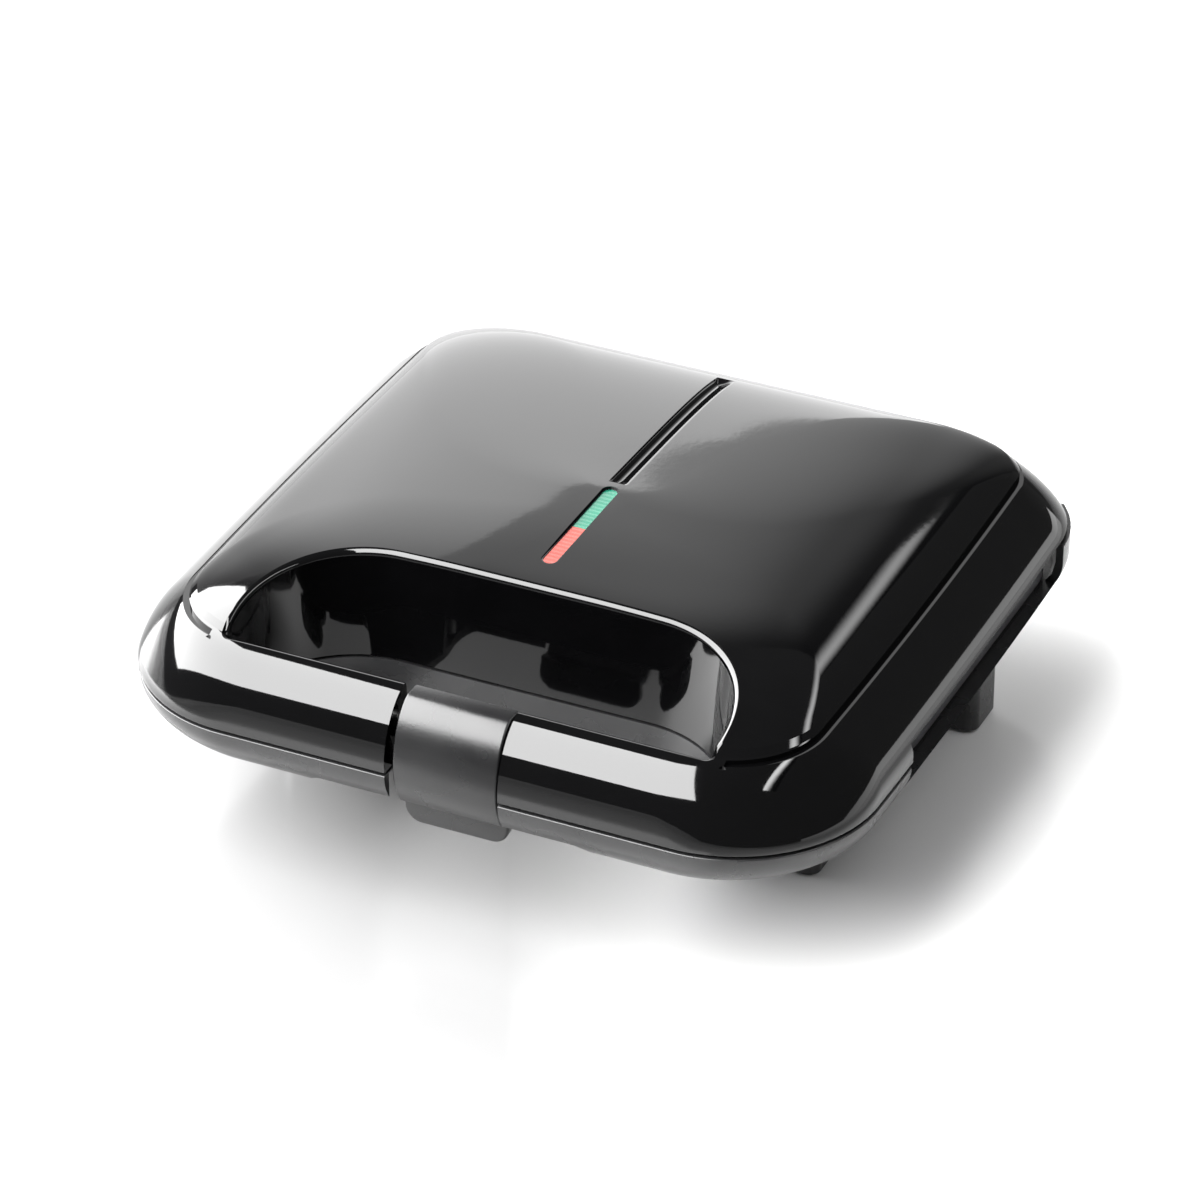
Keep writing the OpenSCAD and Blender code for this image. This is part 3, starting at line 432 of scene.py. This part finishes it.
def lid_skins():
    """The rows of the lid's rim and crown."""
    n_rim, n_crown = ((16, 34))
    crown_end = 0.97
    rim = [bez(RIM_ROWS, t) for t in np.linspace(0, 1, n_rim)]
    crown = [bez(CROWN_ROWS, t) for t in np.linspace(0, crown_end, n_crown)]
    return rim, crown


def finger_loop(z, grow, near=0.0):
    """The finger opening's outline at the height z, grown outwards, anticlockwise."""
    k = (FINGER_Z - z) / (FINGER_Z - LID_Z)
    hw = FINGER_HW - FINGER_TAPER * k + grow
    y0, y1 = FINGER_FRONT + FINGER_LEAN * k - grow, FINGER_BACK - FINGER_TAPER * k + grow
    r, rn = FINGER_R + grow, near + grow
    m = CORNER_STEPS
    front = [(rn - hw, y0), (hw - rn, y0)]
    return np.concatenate([
        np.array([front[0]]), line(front[0], front[1], 2 * m), np.array([front[1]]),
        arc(hw - rn, y0 + rn, rn, 270, 360, 6)[1:], line((hw, y0 + rn), (hw, y1 - r), 4),
        arc(hw - r, y1 - r, r, 0, 90), line((hw - r, y1), (r - hw, y1), m),
        arc(r - hw, y1 - r, r, 90, 180), line((-hw, y1 - r), (-hw, y0 + rn), 4),
        arc(rn - hw, y0 + rn, rn, 180, 270, 6)[:-1]])


def finger_cutter(top, z_low, z_high):
    """The finger opening with a rounded lip where it meets the top surface."""
    middle, beside = 78, 71.0
    stack = [level(finger_loop(z_low, 0, FINGER_NEAR_R), z_low)]
    for a in (0, 15, 30, 45, 60, 75, 84):
        grow = LIP_R * (1 - math.cos(math.radians(a)))
        drop = LIP_R * (1 - math.sin(math.radians(a)))
        z = [top(x, y) or beside for x, y in finger_loop(middle, grow, FINGER_NEAR_R)]
        loop = [finger_loop(zi, grow, FINGER_NEAR_R)[i] for i, zi in enumerate(z)]
        stack.append(np.column_stack([loop, np.array(z) - drop]))
    stack.append(level(stack[-1][:, :2], z_high))
    return stack


def rounded_loop(x0, x1, y0, y1, r):
    n = CORNER_STEPS // 2
    return np.concatenate([
        arc(x1 - r, y1 - r, r, 0, 90, n), arc(x0 + r, y1 - r, r, 90, 180, n),
        arc(x0 + r, y0 + r, r, 180, 270, n), arc(x1 - r, y0 + r, r, 270, 360, n)])


def pill_loop(w, y0, y1):
    r = w / 2
    return np.concatenate([
        arc(0, y1 - r, r, 0, 180, ROUND_STEPS), arc(0, y0 + r, r, 180, 360, ROUND_STEPS)])


def rolled(row, r=0.5):
    """Rows that round off the lower edge of a wall that starts at this row, which ends them."""
    z, side, front, back, rf, rb = row
    out = []
    for a in (0, 22.5, 45, 67.5):
        s = r * (1 - math.sin(math.radians(a)))
        up = r * (1 - math.cos(math.radians(a)))
        out.append([z + up, side + s, front + s, back + s, rf - s, rb - s])
    return [*out, [z + r, side, front, back, rf, rb]]


def ledge(z):
    """Ledge inside a cover, round the opening of its plate."""
    front, back = -55.7, 116
    opening = rounded_loop(-108.5, 108.5, -46.5, 96.5, 23.5)
    whole = block((-HALF_W, front, z), (HALF_W, back, z + LEDGE_T))
    return cut(whole, [prism(opening, z - 1, z + LEDGE_T + 1)])


def well(z0, z1, grow=0.0, near=0.0):
    """The finger opening between two heights."""
    stack = [level(finger_loop(z, grow, near), z) for z in (z0, z1)]
    return loft("well", stack, ["flat"], ["flat"])


def groove_cutter():
    """The fine groove between rim and crown, open across the front."""
    width, low, high = 2.0, 70.0, 75.8
    side, front, back, rf, rb = 14.8, 12.4, 13.1, 30, 19
    end_x, end_y, end_back, end_top = 82, -99.6, -73, 74
    outer = prism(outline([0, side, front, back, rf, rb]), low, high)
    core = outline([0, side + width, front + width, back + width, rf - width, rb - width])
    cut(outer, [prism(core, low - 1, high + 1.2),
                block((-end_x, FRONT_Y - 1, low - 1), (end_x, end_back, high + 1.2))])
    last = 360 - 360 / ROUND_STEPS
    ends = [prism(arc(x, end_y, width / 2, 0, last, ROUND_STEPS - 1), low, end_top)
            for x in (-end_x, end_x)]
    return cut(outer, ends, "UNION")


def channel_cutter(top):
    """The channel behind the indicator: a steep wall on the left, a soft slope on the right."""
    front, back, end_l, over = 7.5, 88, 3, 8
    across = [(-3.1, over), (-3.0, 0.06), (-2.85, -0.45), (-2.6, -0.9), (-2.2, -1.3), (-1.6, -1.55),
              (-0.9, -1.6), (-0.2, -1.5), (0.5, -1.25), (1.2, -0.93), (1.9, -0.58),
              (2.6, -0.25), (3.3, 0.02), (3.4, over)]
    ends = np.array([0, 0.25, 0.6, 1.1, 1.8, 2.8])
    middle = np.linspace(front + 4.5, back - 4, 40)
    v = []
    for y in [*(front + ends), *middle, *(back - ends[::-1])]:
        depth = math.sin(math.pi / 2 * min(1, (min(y - front, back - y) + 0.15) / end_l))
        v += [(x, y, top(x, y) + (d * depth if d < 0 else d)) for x, d in reversed(across)]
    return layers("channel", v, len(across))


def build_lid():
    """Gloss shell of the lid, with its rim, crown, handle opening and indicator channel."""
    rim, crown = lid_skins()
    skirt = rolled([LID_Z, 0, 0, 0, FRONT_R, LID_BACK_R])
    rows = skirt + rim + crown
    bands = ["rim"] * (len(skirt) + len(rim) - 1) + ["step"] + ["crown"] * (len(crown) - 1)
    lid = loft("lid_shell", [ring(r) for r in rows], ["flat", "step", "rim", "crown"], bands)
    surfaces = {"rim": Surface([ring(r) for r in skirt + rim]),
                "crown": Surface([ring(r) for r in crown])}

    def top(x, y):
        return max(filter(None, (s.height(x, y) for s in surfaces.values())), default=None)

    hollow_rows = [inner([LID_Z - 1, 0, 0, 0, FRONT_R, LID_BACK_R], 0)]
    hollow_rows += [inner(bez(RIM_ROWS, t), t) for t in np.linspace(0, 1, 5)]
    hollow_rows += [inner(bez(CROWN_ROWS, t), 1) for t in np.linspace(0, 0.8, 5)]
    hollow = loft("hollow", [ring(r) for r in hollow_rows], ["flat"], ["flat"] * len(hollow_rows))
    housing_back, ledge_z = -96, 57
    cut(hollow, [well(45, 90, LINER_WALL),
                 block((-HOUSING_HW, FRONT_Y - 1, 46), (HOUSING_HW, housing_back, CROWN_Z)),
                 ledge(ledge_z)])
    handle_back, skirt_z = -44, 55
    cut(lid, [hollow, block((-PAST, handle_back, 0), (PAST, PAST, skirt_z))])
    web_front, web_top = 108, 58
    cut(lid, [cylinder_x(-BARREL_HW, BARREL_HW, HINGE_Y, HINGE_Z, HINGE_R),
              block((-BARREL_HW, web_front, HINGE_Z), (BARREL_HW, BACK_Y, web_top))], "UNION")
    stack = finger_cutter(top, 46, 95)
    lips = ["well"] + ["lip"] * (len(stack) - 3) + ["well"]
    surfaces["lip"] = Surface(stack[1:-1])
    slot_front, slot_back, sill_y, sill_z = -115, -95, -107.5, 59.5
    pill_w, pill_front, pill_back = 5.4, -42, 5
    cut(lid, [loft("finger", stack, ["flat", "well", "lip"], lips),
              block((-SLOT_HW, slot_front, sill_z - 1), (SLOT_HW, slot_back, 90)),
              block((-SLOT_HW, slot_front, 46), (SLOT_HW, sill_y, sill_z)),
              groove_cutter(), channel_cutter(top),
              prism(pill_loop(pill_w, pill_front, pill_back), CROWN_Z, 90)])
    shade(lid, surfaces)
    return lid


def leg(x, y):
    half_w, half_l, r, foot_z, top_z = 8.5, 9.5, 4, 1.2, 33
    return prism(rounded_loop(x - half_w, x + half_w, y - half_l, y + half_l, r), foot_z, top_z)


def vent(x, y):
    """Cutter of one slot in the tub's floor."""
    half_l, r, low, high = 15.4, 1.6, 11, 17
    ends = [arc(x + half_l, y, r, -90, 90, 8), arc(x - half_l, y, r, 90, 270, 8)]
    return prism(np.concatenate(ends), low, high)


def base_dish():
    """Takes the front of the base down to the seam and rounds its outer edge."""
    edge_r, beyond, high, handle_back = 0.52, 20, 60, -44
    rows = [[BASE_Z - down, i, i, i + BASE_BACK, FRONT_R - i, BASE_BACK_R - i]
            for down, i in ((0, 0.5), (0.038, 0.31), (0.146, 0.146), (0.31, 0.04),
                            (edge_r, -0.02))]
    rows += [[z, -beyond, -beyond, BASE_BACK - beyond, FRONT_R + beyond, BASE_BACK_R + beyond]
             for z in (BASE_Z - edge_r, high)]
    dish = loft("dish", [ring(r) for r in rows], ["flat"], ["flat"] * len(rows))
    return cut(dish, [block((-PAST / 2, -PAST / 2, 40), (PAST / 2, handle_back, 70))], "INTERSECT")


def build_base():
    """Satin shell of the base, with its legs, windows, hinge lugs and handle opening."""
    rim_z = 53.5
    band = [bez(BAND_ROWS, t) for t in np.linspace(0, 1, 20)]
    band.append(np.array([rim_z, 0, 0, BASE_BACK, FRONT_R, BASE_BACK_R]))
    rows = list(TUB_ROWS) + band
    bands = ["tub"] * 3 + ["under"] + ["band"] * (len(band) - 1)
    base = loft("base_shell", [ring(r) for r in rows], ["flat", "tub", "under", "band"], bands)
    surfaces = {"band": Surface([ring(r) for r in band])}
    leg_places = ((94.5, 54.5), (80.5, -36.5))
    cut(base, [leg(s * x, y) for x, y in leg_places for s in (-1, 1)], "UNION")

    hollow_rows = [inner(TUB_ROWS[0], -1), inner(TUB_ROWS[2], -0.3), inner(TUB_ROWS[3], -1)]
    hollow_rows += [inner(bez(BAND_ROWS, t), t - 1) for t in np.linspace(0, 1, 5)]
    hollow_rows.append(inner([rim_z + 1, 0, 0, BASE_BACK, FRONT_R, BASE_BACK_R], 0))
    hollow = loft("hollow", [ring(r) for r in hollow_rows], ["flat"], ["flat"] * len(hollow_rows))
    housing_back, bar_floor, ledge_z = -95, 36.8, 38
    cut(hollow, [well(0, 49.5, LINER_WALL),
                 block((-HOUSING_HW, FRONT_Y - 1, 0), (HOUSING_HW, housing_back, BASE_Z)),
                 block((-45, FRONT_Y, 0), (45, -98, bar_floor)), ledge(ledge_z)])

    window_front, window_back, window_z = -45, 78, 40
    pod_back, behind_z = 101.7, 42.2
    cut(base, [hollow, base_dish(),
               block((-PAST, window_front, window_z), (PAST, window_back, 100)),
               cylinder_x(-PAST, PAST, HINGE_Y, HINGE_Z, HINGE_ROOM_R),
               block((-PAST, pod_back, HINGE_Z), (PAST, PAST, 100)),
               block((-PAST, HINGE_Y, behind_z), (PAST, PAST, 100))])
    lug_start, lug_front, lug_back, lug_z = BARREL_HW + 1, 104, 112.5, 38.2
    lugs = []
    for s in (-1, 1):
        x0, x1 = sorted((s * lug_start, s * LUG_END))
        lugs += [block((x0, lug_front, lug_z), (x1, lug_back, HINGE_Z)),
                 cylinder_x(x0, x1, HINGE_Y, HINGE_Z, HINGE_R)]
    cut(base, lugs, "UNION")

    well_z, well_top = 34.4, 49
    floor_opening = rounded_loop(-46, 46, -110, -57.6, 6)
    recess_back = -101.6
    cut(base, [well(well_z, well_top, 0, FINGER_NEAR_R), prism(floor_opening, 0, 47),
               block((-SLOT_HW, -115, 0), (SLOT_HW, recess_back, well_top))])
    vent_x, vent_y, vent_pitch = 44, 20, 9
    cut(base, [vent(s * vent_x, vent_y + i * vent_pitch) for s in (-1, 1) for i in range(-3, 4)])
    shade(base, surfaces)
    return base


# ---- latch

LATCH_HW, LATCH_SHIFT, LATCH_T = 16.7, 0.6, 2.6
LATCH_TOP_Y, LATCH_TOP_Z, LATCH_BOTTOM_Z = -96.3, 70, 36.8
LATCH_CURVES = ([(-101.5, LATCH_TOP_Z), (-106.5, 68.5), (-112, 60), (-112, 50)],
                [(-112, 50), (-112, 45), (-110, 40.5), (-108, LATCH_BOTTOM_Z)])


def latch_face(inset, n=16):
    """The latch's outer face as y, z points, set in by the inset towards the housing."""
    out = []
    for c in LATCH_CURVES:
        for t in np.arange(n) / n:
            p, d = bez(c, t), bez(c, t + 0.01) - bez(c, t)
            normal = np.array([d[1], -d[0]]) / np.linalg.norm(d)
            out.append(p - inset * normal)
    return np.array(out)


def latch_loop(inset):
    """Closed (y, z) outline of the latch's bent shell, its skin set in by the inset."""
    face, back = latch_face(inset), latch_face(LATCH_T - inset)
    top = np.array([[LATCH_TOP_Y - inset, LATCH_TOP_Z - inset]])
    low = np.array([[LATCH_TOP_Y - inset, LATCH_TOP_Z - LATCH_T + inset]])
    return np.concatenate([low, back, face[::-1], top])


def edge_steps(r, n=5):
    """(inset, distance from the end) pairs that round an edge off with the radius r."""
    a = np.radians(np.linspace(0, 90, n))
    return [(r * (1 - math.sin(x)), r * (1 - math.cos(x))) for x in a]


def latch_shell():
    """The bent shell with its two ends rounded off."""
    ends = [(inset, LATCH_HW - from_end) for inset, from_end in edge_steps(0.8)]
    sections = [(i, -x) for i, x in ends] + ends[::-1]
    v = [(x + LATCH_SHIFT, y, z) for i, x in sections for y, z in latch_loop(i)]
    return layers("latch_shell", v, len(latch_loop(0)), "round")


def thumb_tab():
    """The tab below the shell, its front edge and lower corners rounded."""
    low, high, corner_r, neck_z, mid_z = 28.3, 40.8, 5.5, 38.9, 36
    front, back, edge_r = -104.8, -102.3, 0.7
    x0, x1 = LATCH_SHIFT - LATCH_HW, LATCH_SHIFT + LATCH_HW
    loop = rounded_loop(x0, x1, low, high, corner_r)
    loop = np.concatenate([loop[loop[:, 1] < neck_z], [(x1, neck_z + 0.3), (x0, neck_z + 0.3)]])
    mid = np.array([LATCH_SHIFT, mid_z])
    loop = loop[np.argsort(np.arctan2(*(loop - mid).T[::-1]))]
    layer = [(mid + (loop - mid) * (1 - inset / np.array([LATCH_HW, 6])), front + from_face)
             for inset, from_face in edge_steps(edge_r)]
    layer.append((loop, back))
    v = [(x, y, z) for points, y in layer for x, z in points[::-1]]
    return layers("thumb", v, len(loop), "round")


def latch_cheek(s):
    """Side wall that carries the latch's barrel, on the side s."""
    outer, inner_end, front_z = LATCH_HW - 0.3, LATCH_HW - 2.2, 59.3
    back_y, back_z, neck_z = -96.8, 69.5, 65.3
    x0, x1 = sorted((LATCH_SHIFT + s * outer, LATCH_SHIFT + s * inner_end))
    front = [tuple(p) for p in latch_face(0.5) if p[1] > front_z]
    return bar_x(front[::-1] + [(back_y, back_z), (back_y, neck_z), (LATCH_PIN_Y, neck_z),
                                (LATCH_PIN_Y, front_z)], x0, x1)


def build_latch():
    """Grey latch: bent shell, cheeks with the pin's barrel, foot and thumb tab."""
    x0, x1 = LATCH_SHIFT - LATCH_HW, LATCH_SHIFT + LATCH_HW
    foot = block((x0 + 0.2, -107.6, LATCH_BOTTOM_Z + 0.1), (x1 - 0.2, -102.4, 39.3))
    barrel = cylinder_x(x0, x1, LATCH_PIN_Y, LATCH_PIN_Z, LATCH_BARREL_R)
    latch = cut(latch_shell(), [thumb_tab(), foot, latch_cheek(-1), latch_cheek(1), barrel],
                "UNION")
    shade(latch, {}, 40)
    return latch


# ---- stage

def put_camera():
    """The photograph's viewing angle, on a 36 mm sensor. Sizes are in metres."""
    az, el, roll = math.radians(25.13), math.radians(32.12), math.radians(-0.17)
    distance, right, up = 1.649, -0.00217, 0.00037
    back = Vector((math.sin(az) * math.cos(el), -math.cos(az) * math.cos(el), math.sin(el)))
    x = Vector((0, 0, 1)).cross(back).normalized()
    y = back.cross(x)
    x, y = (math.cos(roll) * x + math.sin(roll) * y, math.cos(roll) * y - math.sin(roll) * x)
    target = Vector((0, SHIFT_Y, BASE_Z)) * MM + x * right + y * up
    data = bpy.data.cameras.new("camera")
    data.lens, data.sensor_width, data.clip_start = 163.77, 36, 0.05
    cam = bpy.data.objects.new("camera", data)
    place = target + back * distance
    cam.matrix_world = Matrix(((x.x, y.x, back.x, place.x), (x.y, y.y, back.y, place.y),
                               (x.z, y.z, back.z, place.z), (0, 0, 0, 1)))
    bpy.context.scene.collection.objects.link(cam)
    bpy.context.scene.camera = cam


def grey(tone):
    return (tone, tone, tone, 1)


def put_floor():
    """Pale floor, glossy enough for a faint reflection. Its tone is painted shade and light: deeper
    on the left front, a painted shade there, and paler near the part, which washes out all but the
    core of the part's shadow. Sizes are in metres."""
    left_painted_shade_tone, near_painted_light_tone, far_tone = 0.22, 0.7, 0.3
    left_end, right_end, near_end, far_start = -0.03, 0.11, 0.16, 0.26
    m = Nodes("pale_floor", (near_painted_light_tone,) * 3, 0.14, Specular_IOR_Level=0.8)
    m.link(m.span(m.noise(3.0, 2), 0.10, 0.18), "Roughness")
    away = m.add("ShaderNodeVectorMath", {0: m.where}, operation="LENGTH").outputs["Value"]
    right = m.add("ShaderNodeVectorMath", {0: m.where, 1: (0.905, 0.425, 0)},
                  operation="DOT_PRODUCT").outputs["Value"]
    # Painted tone: paler near the part, which washes out its shadow there, and deeper on the left
    # front, a painted shade.
    lit = m.mix(m.span(away, 0, 1, near_end, far_start), grey(near_painted_light_tone), grey(far_tone))
    shaded = m.mix(m.span(right, 0, 1, left_end, right_end), grey(left_painted_shade_tone), lit)
    m.link(shaded, "Base Color")
    far = 14.0
    mesh = bpy.data.meshes.new("floor")
    mesh.from_pydata([(-far, -far, 0), (far, -far, 0), (far, far, 0), (-far, far, 0)], [],
                     [(0, 1, 2, 3)])
    mesh.materials.append(m.mat)
    floor = bpy.data.objects.new("floor", mesh)
    bpy.context.scene.collection.objects.link(floor)


def towards(az, el, far):
    """Point in a direction: az in degrees from +Y towards +X, el above the floor."""
    a, e = math.radians(az), math.radians(el)
    return (far * math.sin(a) * math.cos(e), far * math.cos(a) * math.cos(e), far * math.sin(e))


def panel(name, corners, across, up=((0, 1), (1, 1))):
    """Flat glowing panel. across gives (share of the way, radiance) along the first side, and
    up gives (share of the way, factor) along the side that leaves its start. The first two
    pairs of each are the ends."""
    pts = np.array(corners)
    axes = (pts[1] - pts[0], pts[-1] - pts[0])
    mesh = bpy.data.meshes.new(name)
    mesh.from_pydata([tuple(p) for p in pts], [], [tuple(range(len(pts)))])
    uv = mesh.uv_layers.new(name="UVMap")
    for place, p in zip(uv.data, pts):
        place.uv = [(p - pts[0]) @ e / (e @ e) for e in axes]
    mat = bpy.data.materials.new(name)
    mat.use_nodes = True
    tree = mat.node_tree
    tree.nodes.clear()
    split = tree.nodes.new("ShaderNodeSeparateXYZ")
    tree.links.new(tree.nodes.new("ShaderNodeUVMap").outputs[0], split.inputs[0])
    peak = max(v for _, v in across)
    shades = []
    for k, stops in enumerate(([(p, v / peak) for p, v in across], up)):
        curve = tree.nodes.new("ShaderNodeValToRGB")
        curve.color_ramp.interpolation = "EASE"
        marks = curve.color_ramp.elements
        for i, (at, value) in enumerate(stops):
            mark = marks[i] if i < 2 else marks.new(at)
            mark.position, mark.color = at, grey(value)
        tree.links.new(split.outputs[k], curve.inputs[0])
        shades.append(curve.outputs[0])
    both = tree.nodes.new("ShaderNodeVectorMath")
    both.operation = "MULTIPLY"
    glow = tree.nodes.new("ShaderNodeEmission")
    glow.inputs["Strength"].default_value = peak
    end = tree.nodes.new("ShaderNodeOutputMaterial")
    for one, two in ((shades[0], both.inputs[0]), (shades[1], both.inputs[1]),
                     (both.outputs[0], glow.inputs["Color"]), (glow.outputs[0], end.inputs[0])):
        tree.links.new(one, two)
    mesh.materials.append(mat)
    obj = bpy.data.objects.new(name, mesh)
    bpy.context.scene.collection.objects.link(obj)


def screen(x, y, far):
    """Point on an upright plane that faces the part from behind its left side."""
    az = math.radians(-25)
    c, s = math.cos(az), math.sin(az)
    return (far * (s + x * c), far * (c - x * s), far * y)


def overhead(*directions):
    """Corners where directions from the part meet one slanting plane, set by how far the
    first three corners are."""
    spots = [np.array(d) / np.linalg.norm(d) for d in directions]
    a, b, c = (spot * far for spot, far in zip(spots, (2.3, 4.3, 7.2)))
    plane = np.cross(b - a, c - a)
    return [d * (plane @ a) / (plane @ d) for d in spots]


def put_lights():
    """Weak sky light and glowing panels, placed where the photograph's gloss mirrors them.
    Places are in metres and radiances are relative to the white of the picture."""
    scene = bpy.context.scene
    world = bpy.data.worlds.new("world")
    world.use_nodes = True
    sky = world.node_tree.nodes["Background"]
    sky.inputs["Color"].default_value, sky.inputs["Strength"].default_value = grey(1), 0.12
    scene.world = world
    scene.view_settings.view_transform = "Standard"

    box_glow = 17
    panel("softbox_left", overhead(
        (-0.146, -0.134, 1), (0.26, -1.75, 1), (-11.3, -2.6, 1), (-9.0, 4.6, 1),
        (-0.95, 0.72, 1), (-0.40, -0.07, 1)), [(0, box_glow), (1, box_glow)])
    high = 2.3
    panel("softbox_right", [
        (0.00, 2.87, high), (2.60, -1.63, high), (3.10, -1.37, high), (0.50, 3.13, high)],
        [(0, 4), (1, 15), (0.4, 9), (0.6, 16)], [(0, 0), (1, 0), (0.5, 1)])
    start, end, low, top, far = 18, 112, -0.3, 5, 5
    panel("low_right", [towards(start, low, far), towards(end, low, far),
                        towards(end, top, far), towards(start, top, far)],
          [(0, 2.4), (1, 1.2)])

    foot, far = -0.01, 6.0
    left, top = -0.62, 0.81
    edge = [(0.19, foot), (0.087, 0.353), (0.053, 0.477), (0.028, 0.519), (-0.003, 0.564),
            (-0.046, 0.632), (-0.095, 0.733), (-0.139, top)]
    outline_points = [(left, foot), *edge, (left, top)]
    panel("screen_left", [screen(x, y, far) for x, y in outline_points],
          [(0, 0.6), (1, 3.6), (0.27, 1.6), (0.55, 3.4)], [(0, 1), (1, 0.45), (0.6, 1)])
    far, left, right, top = 6.2, -0.6, 0.75, 1.0
    panel("screen_back", [screen(left, foot, far), screen(right, foot, far),
                          screen(right, top, far), screen(left, top, far)],
          [(0, 0.2), (1, 0.08), (0.3, 2.0), (0.46, 1.9), (0.6, 0.8), (0.75, 0.2)],
          [(0, 1), (1, 0.1), (0.5, 0.95), (0.75, 0.6)])


# ---- the part

# Each plastic: base colour, roughness, its spread, scale of the grain, depth of the grain.
GLOSS = plastic("gloss_black", (0.0009, 0.0009, 0.001), 0.045, 0.012, 420.0, 0.000003)
SATIN = plastic("satin_black", (0.014, 0.014, 0.0145), 0.27, 0.05, 900.0, 0.00002)
GREY = plastic("latch_grey", (0.0045, 0.0045, 0.0048), 0.28, 0.04, 1100.0, 0.00002)
RUBBER = plastic("foot_rubber", (0.018, 0.018, 0.018), 0.75, 0.08, 600.0, 0.00006)
BEZEL = plastic("bezel_black", (0.004, 0.004, 0.005), 0.12, 0.03, 500.0, 0.000005)
NYLON = plastic("nylon", (0.62, 0.6, 0.55), 0.5, 0.06, 500.0, 0.00004)
WIRE = plastic("silicone_wire", (0.42, 0.05, 0.035), 0.45, 0.06, 400.0, 0.00003)
NONSTICK = nonstick()
SHEATH = metal("heater_sheath", (0.34, 0.31, 0.29), 0.38)
SHEET = metal("aluminised_sheet", (0.62, 0.62, 0.62), 0.32, brushed=True)
STEEL = metal("zinc_steel", (0.58, 0.58, 0.57), 0.3)
BRASS = metal("brass", (0.72, 0.52, 0.24), 0.3)
CERAMIC = ceramic()
RED = lens("lens_red", (0.36, 0.045, 0.03), 0.12)
GREEN = lens("lens_green", (0.012, 0.17, 0.105), 0.10)
LAMP = glass()

BY_SLOT = {
    "gloss_cover": GLOSS, "satin_cover": SATIN, "latch_grey": GREY, "foot_rubber": RUBBER,
    "nonstick": NONSTICK, "heater_sheath": SHEATH, "sheet": SHEET, "steel": STEEL,
    "ceramic": CERAMIC, "brass": BRASS, "holder_plastic": NYLON, "wire": WIRE,
    "bezel_black": BEZEL, "lens_red": RED, "lens_green": GREEN, "lamp_glass": LAMP}

for part in frame["record"]["subparts"]:
    node = frame["nodes"][part["node"]]
    for place in node.material_slots:
        place.material = BY_SLOT[part["material_slot"]]

dress(build_lid(), GLOSS, "lid", "gloss_cover", "lid_cover")
dress(build_base(), SATIN, "base", "satin_cover", "base_cover")
dress(build_latch(), GREY, "latch", "latch_grey", "latch")

put_camera()
put_floor()
put_lights()
